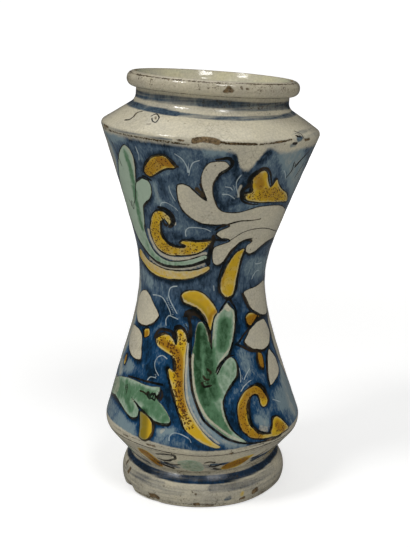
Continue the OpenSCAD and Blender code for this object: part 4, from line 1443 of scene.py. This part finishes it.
def painted_material(paint):
    """The painted outer glaze: cream, blue ground, fills, brush lines, scratched lines and wear."""
    material, w, surface = new_material("painted glaze")
    edge_group = brushed_edge()

    def brushed(distance, softness, wander):
        return w.group(edge_group, Distance=distance, Softness=softness, Wander=wander)["Paint"]

    place = w.place()
    white, green, yellow = w.fields("leaves")
    outline_width, line_side, line_width = w.fields("lines")
    scratch_side, scratch_width, light = w.fields("scratches")
    deep_green, stipple, ochre = w.fields("washes")
    blue, deep_blue, thin_blue_and_sheen = w.fields("grounds")
    bare, band, dirt_and_shade = w.fields("wear")

    # Cream glaze
    glaze = w.group(aged_glaze(), Colour=paint.cream, Thin_Colour=paint.cream_grey, Craze=0.55)
    cream = glaze["Colour"]

    # Blue ground, brushed on in patches, and slate from the waist up
    up = w.node("ShaderNodeSeparateXYZ", {0: place}).outputs["Z"]
    upper = w.ramp(up, *UPPER_FADE)
    broad = w.noise(place, 48, 4, 1.2)
    strokes = w.noise(w.stretched(place, STROKE_GRAIN), 1.0, 5, 1.6)
    fine = w.noise(w.stretched(place, FINE_GRAIN), 1.0, 3, 0.8)
    tone = w.scaled(broad, 0.9, w.times(strokes, 0.8))
    tone = w.scaled(fine, 1.0, w.less(tone, 0.06))
    tone = w.scaled(deep_blue, 0.60, w.less(tone, 0.95))
    tone = w.less(tone, w.times(thin_blue_and_sheen, 0.65))
    tone = w.scaled(upper, -0.03, tone)
    tint = w.mix(w.ramp(up, *SLATE_FADE), paint.blue, paint.slate)
    pale_to_blue = w.mix(w.ramp(tone, -0.20, 0.48), paint.blue_pale, tint)
    ground = w.mix(w.ramp(tone, 0.30, 0.98), pale_to_blue, paint.blue_deep)
    ground_mask = brushed(blue, w.scaled(upper, 1.1, 0.6), w.scaled(upper, 0.8, 0.5))
    # Where the blue is thin it is worn; at the sides this paleness is painted sheen
    worn_and_sheen = w.ramp(w.add(thin_blue_and_sheen, w.less(strokes, 0.5)), 0.75, 1.35)
    ground_mask = w.times(ground_mask, w.scaled(worn_and_sheen, -0.65, 1.0))
    streaks = w.noise(w.stretched(place, STREAK_GRAIN), 1.0, 3)
    blotted = w.scaled(streaks, 0.9, w.times(broad, 0.6))
    band_mask = w.ramp(w.add(w.less(blotted, 0.75), band), 0.22, 1.0)
    stained = w.mix(w.times(ochre, 0.6), cream, paint.ochre)
    coat = w.mix(ground_mask, stained, ground)
    coat = w.mix(band_mask, coat, w.mix(0.40, ground, paint.blue_deep))

    # The leaves are left in cream, then filled
    nearest_leaf = w.most(white, green, yellow)
    leaf_mask = brushed(w.add(nearest_leaf, 0.05), 0.14, 0.22)
    coat = w.mix(leaf_mask, coat, cream)

    watery = w.noise(place, 150, 3, 1.0)
    green_tone = w.scaled(deep_green, 0.90, w.times(strokes, 0.75))
    green_tone = w.scaled(w.ramp(green, 0.2, 2.4), 0.14, green_tone)
    green_tone = w.scaled(upper, -0.32, green_tone)
    green_tone = w.scaled(w.noise(place, 420, 3, 0.5), 0.5, w.less(green_tone, 0.25))
    pale_to_green = w.mix(w.ramp(green_tone, 0.22, 0.80), paint.green_pale, paint.green)
    greens = w.mix(w.ramp(green_tone, 0.75, 1.35), pale_to_green, paint.green_deep)
    coat = w.mix(brushed(w.less(green, 0.12), 0.30, 0.40), coat, greens)

    yellow_tone = w.ramp(w.scaled(w.ramp(yellow, 0.1, 1.8), 0.4, watery), 0.48, 0.92)
    yellows = w.mix(yellow_tone, paint.yellow_pale, paint.yellow)
    washed = w.ramp(w.scaled(ochre, 0.9, w.times(strokes, 0.5)), 0.35, 1.05)
    yellows = w.mix(washed, yellows, paint.ochre)
    yellows = w.mix(w.times(deep_green, 0.62), yellows, paint.green_deep)
    dots = w.cells(w.scattered(place, 420, 0.0016), 880)
    dot_size = w.times(stipple, w.ramp(w.noise(place, 300, 2), 0.25, 0.75, 0.36, 0.54))
    dot_mask = w.ramp(w.less(dot_size, dots), -0.06, 0.06)
    yellows = w.mix(w.times(dot_mask, 0.94), yellows, paint.stipple)
    coat = w.mix(brushed(w.less(yellow, 0.02), 0.25, 0.30), coat, yellows)
    coat = w.mix(w.times(brushed(light, EDGE_SOFTNESS, 0.35), 0.85), coat, cream)

    # Lines scratched through the blue
    scratch = brushed(w.less(scratch_width, w.size(scratch_side)), 0.12, 0.10)
    scratch = w.times(scratch, w.less(1.0, leaf_mask))
    scratch = w.times(scratch, w.ramp(w.noise(place, 240, 2), 0.25, 0.6, 0.45, 0.95))
    coat = w.mix(scratch, coat, paint.scratch)

    # Brush lines: round the leaves, then free ones
    to_outline = w.least(*(w.size(leaf) for leaf in (white, green, yellow)))
    pressure = w.ramp(w.noise(place, 130, 2), 0.25, 0.75, 0.75, 1.75)
    outline = w.less(w.times(outline_width, pressure), to_outline)
    outline = brushed(outline, 0.14, 0.16)
    free_line = brushed(w.less(line_width, w.size(line_side)), 0.14, 0.20)
    line = w.times(w.most(outline, free_line), w.ramp(w.noise(place, 380, 3), 0.2, 0.6, 0.80, 1.0))
    ink = w.mix(w.ramp(w.noise(place, 110, 2), 0.42, 0.68), paint.ink, paint.ink_brown)
    coat = w.mix(line, coat, ink)

    # Stains, dirt and painted shade, then chips with a dark rim
    specks = w.add(w.noise(place, 1100, 2), w.times(w.noise(place, 230, 3), 0.8))
    soiled_and_shaded = w.ramp(w.add(dirt_and_shade, w.less(specks, 0.9)), 0.34, 0.80)
    soiled_and_shaded = w.times(soiled_and_shaded, w.ramp(dirt_and_shade, 0.0, 0.12))
    coat = w.mix(w.most(soiled_and_shaded, w.times(dirt_and_shade, 0.36)), coat, paint.dark_clay_and_shade)
    clay = w.group(fired_clay(), Colour=paint.clay, Stain=paint.dark_clay_and_shade, Stain_Amount=0.9)
    chip = brushed(bare, 0.16, 0.75)
    rim = w.less(brushed(w.add(bare, 0.22), 0.16, 0.75), chip)
    coat = w.mix(w.times(rim, 0.75), coat, paint.dark_clay_and_shade)
    coat = w.mix(chip, coat, clay["Colour"])

    painted = w.most(ground_mask, line)
    height = w.scaled(painted, 0.12, glaze["Height"])
    height = w.scaled(w.less(clay["Height"], 0.5), chip, height)
    dulled = w.scaled(w.times(dirt_and_shade, w.ramp(up, *DULL_FADE)), 0.55, glaze["Roughness"])
    roughness = w.scaled(w.less(clay["Roughness"], dulled), chip, dulled)
    surface["Specular IOR Level"].default_value = PAINT_SHINE
    finish(w, surface, coat, roughness, height, PAINT_RELIEF)
    return material


# Pieces


# How far a dressed piece may stray from the solid that it stands for, in metres
MOST_STRAY = 0.004


def stand_for(ware, node):
    """Rides a piece on the jar's one body in place of a solid, if it fits that solid."""
    points = points_of(ware.data)
    for own, solid in zip((points.min(0), points.max(0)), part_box(node)):
        if np.abs(own - np.array(solid)).max() > MOST_STRAY:
            raise RuntimeError(f"{ware.name} doesn't fit {node}: {own} against {list(solid)}")
    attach(ware, BODY)
    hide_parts(node)


class Bench:
    """What every piece is made from: the profile, the hand's settings and the paints."""

    def __init__(self, scene):
        self.hand = scene.albarello_hand
        self.paint = scene.albarello_paint
        self.profile = Profile(scene.albarello_shape)
        self.sizes = self.profile.sizes

    def make(self, name, node, section, closed, material):
        """Turns a section, settles it and puts it in place of its solid."""
        ware = turn_ware(name, section, closed, self.sizes.clay_sides, material)
        seat(ware, self.hand, self.profile)
        stand_for(ware, node)

    def ring(self, low, high):
        """The clay wall's section between two heights."""
        outside = self.profile.outside(self.sizes.glaze, self.sizes.clay_step)
        inside = self.profile.inside(0, self.sizes.clay_step)
        return np.vstack([part_of(outside, low, high), part_of(inside, low, high)[::-1]])


# Distances between the rows of shown clay, of its worn edge and of the lining, in millimetres
SHOWN_STEP, EDGE_STEP, LINING_STEP = 1.0, 0.3, 2.0


class ALBARELLO_OT_clay(bpy.types.Operator):
    """Turn the foot, the two cones and the neck in clay"""

    bl_idname = "albarello.turn_clay"
    bl_label = "Turn the clay"

    def execute(self, context):
        bench = Bench(context.scene)
        profile = bench.profile
        s = bench.sizes
        material = clay_material(bench.paint, "bare clay", bench.paint.clay, stain_amount=0.75)
        side = part_of(profile.foot(s.glaze, SHOWN_STEP), s.bare_edge, s.foot_height)
        edge = (side[0][0] - s.bare_edge / 2, 0)
        hollow_top = (s.hollow_radius - s.hollow_draft, s.hollow_depth)
        hollow_rim = (s.hollow_radius, 0)
        foot = np.vstack([line_points((0, s.hollow_depth), hollow_top, s.clay_step), hollow_rim,
                          round_corner(hollow_rim, edge, side[0], s.bare_edge / 2, EDGE_STEP), side[1:],
                          line_points(side[-1], (0, s.foot_height), s.clay_step)[1:]])
        bench.make("foot_clay", "foot", foot, False, material)
        lower = bench.ring(s.foot_height + s.slip, s.waist_height - s.slip)
        bench.make("lower_cone_clay", "lower_body", lower, True, material)
        upper = bench.ring(s.waist_height, profile.joint_height - s.slip)
        bench.make("upper_cone_clay", "upper_body", upper, True, material)
        top = s.top_height - s.glaze
        neck = np.vstack([part_of(profile.outside(s.glaze, SHOWN_STEP), profile.joint_height, top)[:-1],
                          (profile.crest_radius, top),
                          part_of(profile.inside(0, SHOWN_STEP), profile.joint_height, top)[::-1]])
        bench.make("neck_clay", "neck", neck, True, material)
        return {"FINISHED"}


class ALBARELLO_OT_seams(bpy.types.Operator):
    """Lute the sections together with slip"""

    bl_idname = "albarello.lute_seams"
    bl_label = "Lute the seams"

    def execute(self, context):
        bench = Bench(context.scene)
        s = bench.sizes
        material = clay_material(bench.paint, "fired slip", bench.paint.slip, stain_amount=0.4)
        for node, low in (("foot_seam", s.foot_height), ("waist_seam", s.waist_height - s.slip),
                          ("neck_seam", bench.profile.joint_height - s.slip)):
            bench.make(node + "_slip", node, bench.ring(low, low + s.slip), True, material)
        return {"FINISHED"}


# How far outside and inside a chip's edge its depth sets in, in millimetres
CHIP_EDGE = (-0.3, 0.5)


def coat_half(scene, name, node, cut):
    """Turns, paints and seats one half of the outer glaze, which a function cuts from a path."""
    bench = Bench(scene)
    s = bench.sizes
    whole = bench.profile.outside(0, s.coat_step)
    face = cut(whole, s)
    back = cut(bench.profile.outside(s.glaze, s.clay_step), s)
    material = bpy.data.materials.get("painted glaze") or painted_material(bench.paint)
    ware = turn_ware(name, np.vstack([face, back[::-1]]), True, s.coat_sides, material, len(face))
    bare = paint_coat(ware, whole, len(face))
    seat(ware, bench.hand, bench.profile, sizes(bench.hand).chip_depth * ease(bare, *CHIP_EDGE))
    stand_for(ware, node)


class ALBARELLO_OT_lower_glaze(bpy.types.Operator):
    """Glaze and paint the foot and the lower half"""

    bl_idname = "albarello.glaze_lower_half"
    bl_label = "Glaze the lower half"

    def execute(self, context):
        coat_half(context.scene, "lower_painted_glaze", "lower_glaze",
                  lambda path, s: part_of(path, s.bare_edge, s.waist_height))
        return {"FINISHED"}


class ALBARELLO_OT_upper_glaze(bpy.types.Operator):
    """Glaze and paint the upper half, up to the lip"""

    bl_idname = "albarello.glaze_upper_half"
    bl_label = "Glaze the upper half"

    def execute(self, context):
        coat_half(context.scene, "upper_painted_glaze", "upper_glaze",
                  lambda path, s: rest_of(path, s.waist_height))
        return {"FINISHED"}


class ALBARELLO_OT_lining(bpy.types.Operator):
    """Line both halves with plain glaze"""

    bl_idname = "albarello.line_inside"
    bl_label = "Line the inside"

    def execute(self, context):
        bench = Bench(context.scene)
        s = bench.sizes
        material = lining_material(bench.paint)
        outer = bench.profile.inside(0, LINING_STEP)
        inner = bench.profile.inside(s.lining, LINING_STEP)
        floor, floor_top = s.foot_height, s.foot_height + s.lining
        low_outer = part_of(outer, floor, s.waist_height)
        low_inner = part_of(inner, floor_top, s.waist_height)
        lower = np.vstack([line_points((0, floor), low_outer[0], LINING_STEP)[:-1], low_outer,
                           low_inner[::-1], line_points(low_inner[0], (0, floor_top), LINING_STEP)[1:]])
        bench.make("lower_lining_glaze", "lower_lining", lower, False, material)
        upper = np.vstack([rest_of(outer, s.waist_height), rest_of(inner, s.waist_height)[::-1]])
        bench.make("upper_lining_glaze", "upper_lining", upper, True, material)
        return {"FINISHED"}


# Stage


def floor_material(studio):
    """A pale floor that shows white to the camera and lights the jar no more than pale paper would."""
    material, w, surface = new_material("pale floor")
    grain = w.ramp(w.noise(w.place(), 8, 3), 0.3, 0.7, 0.97, 1.0)
    tint = w.mix(grain, (0.92, 0.92, 0.92), (1, 1, 1))
    path = w.node("ShaderNodeLightPath").outputs
    tint = w.mix(w.times(path["Is Glossy Ray"], 0.75), tint, (0, 0, 0))
    w.link(w.mix(1.0, tint, studio.floor_colour, "MULTIPLY"), surface["Base Color"])
    surface["Roughness"].default_value = FLOOR_ROUGHNESS
    surface["Specular IOR Level"].default_value = FLOOR_SHINE
    surface["Emission Color"].default_value = (1, 1, 1, 1)
    away = w.node("ShaderNodeVectorMath", {0: w.place()}, operation="LENGTH").outputs["Value"]
    lift = w.ramp(away, 0.25, 1.2, studio.floor_lift, studio.far_lift)
    w.link(w.times(path["Is Camera Ray"], lift), surface["Emission Strength"])
    return material


# What the lights look at
JAR_MIDDLE = (0.0, 0.0, 0.13)
# Each light's setting, its side and place in metres, and whether the glaze mirrors it
LIGHTS = (
    ("left_lamp", 0.42, (-0.92, -0.64, 1.47), True),
    ("right_lamp", 0.46, (0.45, -1.08, 1.55), True),
    ("left_panel", 1.4, (-1.25, -0.1, 0.75), False),
    ("right_panel", 1.4, (1.25, -0.1, 0.75), False),
    ("front_fill", 1.2, (-0.1, -1.7, 0.45), False),
    ("top_panel", 1.5, (-0.1, 0.25, 1.6), True),
)
FLOOR_HALF = 20.0
# Brightness of the room where the camera sees it past the floor
SEEN_ROOM = 1.1
# Width of the camera's frame in millimetres, and where its sight starts in metres
FRAME_WIDTH, SIGHT_START = 36.0, 0.01


def add_light(name, watts, side, place, mirrored):
    """A square light that looks at the jar's middle, and shows in the glaze only if it is mirrored."""
    data = bpy.data.lights.new(name, "AREA")
    data.size = side
    data.energy = watts
    light = bpy.data.objects.new(name, data)
    light.visible_glossy = mirrored
    bpy.context.scene.collection.objects.link(light)
    forward = np.array(JAR_MIDDLE) - np.array(place)
    aim_along(light, place, forward / np.linalg.norm(forward), 0)


def aim_along(thing, place, forward, roll):
    """Puts a camera or light at a place, looking along forward."""
    right = np.cross(forward, (0, 0, 1))
    right /= np.linalg.norm(right)
    up = np.cross(right, forward)
    right, up = (math.cos(roll) * right + math.sin(roll) * up, math.cos(roll) * up - math.sin(roll) * right)
    rows = np.eye(4)
    rows[:3, 0], rows[:3, 1], rows[:3, 2], rows[:3, 3] = right, up, -forward, place
    thing.matrix_world = Matrix(rows)


class ALBARELLO_OT_stage(bpy.types.Operator):
    """Set the floor, the lights and the camera"""

    bl_idname = "albarello.set_stage"
    bl_label = "Set the stage"

    def execute(self, context):
        scene = context.scene
        studio = scene.albarello_studio
        corners = [(x * FLOOR_HALF, y * FLOOR_HALF, 0) for x, y in ((-1, -1), (1, -1), (1, 1), (-1, 1))]
        mesh = bpy.data.meshes.new("floor")
        mesh.from_pydata(corners, [], [(0, 1, 2, 3)])
        mesh.materials.append(floor_material(studio))
        floor = bpy.data.objects.new("floor", mesh)
        scene.collection.objects.link(floor)
        world = bpy.data.worlds.new("studio")
        world.use_nodes = True
        w = Wiring(world.node_tree)
        world.node_tree.nodes.clear()
        seen = w.node("ShaderNodeLightPath").outputs["Is Camera Ray"]
        strength = w.ramp(seen, 0.0, 1.0, studio.room_light, SEEN_ROOM)
        sky = w.node("ShaderNodeBackground", {"Color": (1, 1, 1), "Strength": strength})
        w.node("ShaderNodeOutputWorld", {"Surface": sky.outputs[0]})
        scene.world = world
        for name, side, place, mirrored in LIGHTS:
            add_light(name.replace("_", " "), getattr(studio, name), side, place, mirrored)
        data = bpy.data.cameras.new("camera")
        data.lens = studio.camera_lens
        data.sensor_width = FRAME_WIDTH
        data.clip_start = SIGHT_START
        camera = bpy.data.objects.new("camera", data)
        scene.collection.objects.link(camera)
        pitch, yaw = studio.camera_pitch, studio.camera_yaw
        level = math.cos(pitch)
        forward = np.array((math.sin(yaw) * level, math.cos(yaw) * level, -math.sin(pitch)))
        aim_along(camera, (0, -studio.camera_distance, studio.camera_height), forward, studio.camera_roll)
        scene.camera = camera
        scene.view_settings.view_transform = "Standard"
        return {"FINISHED"}


class ALBARELLO_PT_panel(bpy.types.Panel):
    """Albarello"""

    bl_idname = "ALBARELLO_PT_panel"
    bl_label = "Albarello"
    bl_space_type = "VIEW_3D"
    bl_region_type = "UI"
    bl_category = "Albarello"

    def draw(self, context):
        for operator in OPERATORS:
            self.layout.operator(operator.bl_idname)
        for group in GROUPS:
            for name in GROUPS[group].__annotations__:
                self.layout.prop(getattr(context.scene, group), name)


OPERATORS = (ALBARELLO_OT_clay, ALBARELLO_OT_seams, ALBARELLO_OT_lining, ALBARELLO_OT_lower_glaze,
             ALBARELLO_OT_upper_glaze, ALBARELLO_OT_stage)
GROUPS = {"albarello_shape": AlbarelloShape, "albarello_hand": AlbarelloHand,
          "albarello_paint": AlbarelloPaint, "albarello_studio": AlbarelloStudio}


def register():
    for cls in (*GROUPS.values(), *OPERATORS, ALBARELLO_PT_panel):
        bpy.utils.register_class(cls)
    for name, cls in GROUPS.items():
        setattr(bpy.types.Scene, name, PointerProperty(type=cls))


def unregister():
    for name in GROUPS:
        delattr(bpy.types.Scene, name)
    for cls in (ALBARELLO_PT_panel, *reversed(OPERATORS), *reversed(GROUPS.values())):
        bpy.utils.unregister_class(cls)


def main():
    register()
    bpy.ops.albarello.turn_clay()
    bpy.ops.albarello.lute_seams()
    bpy.ops.albarello.line_inside()
    bpy.ops.albarello.glaze_lower_half()
    bpy.ops.albarello.glaze_upper_half()
    bpy.ops.albarello.set_stage()


if __name__ == "__main__":
    main()
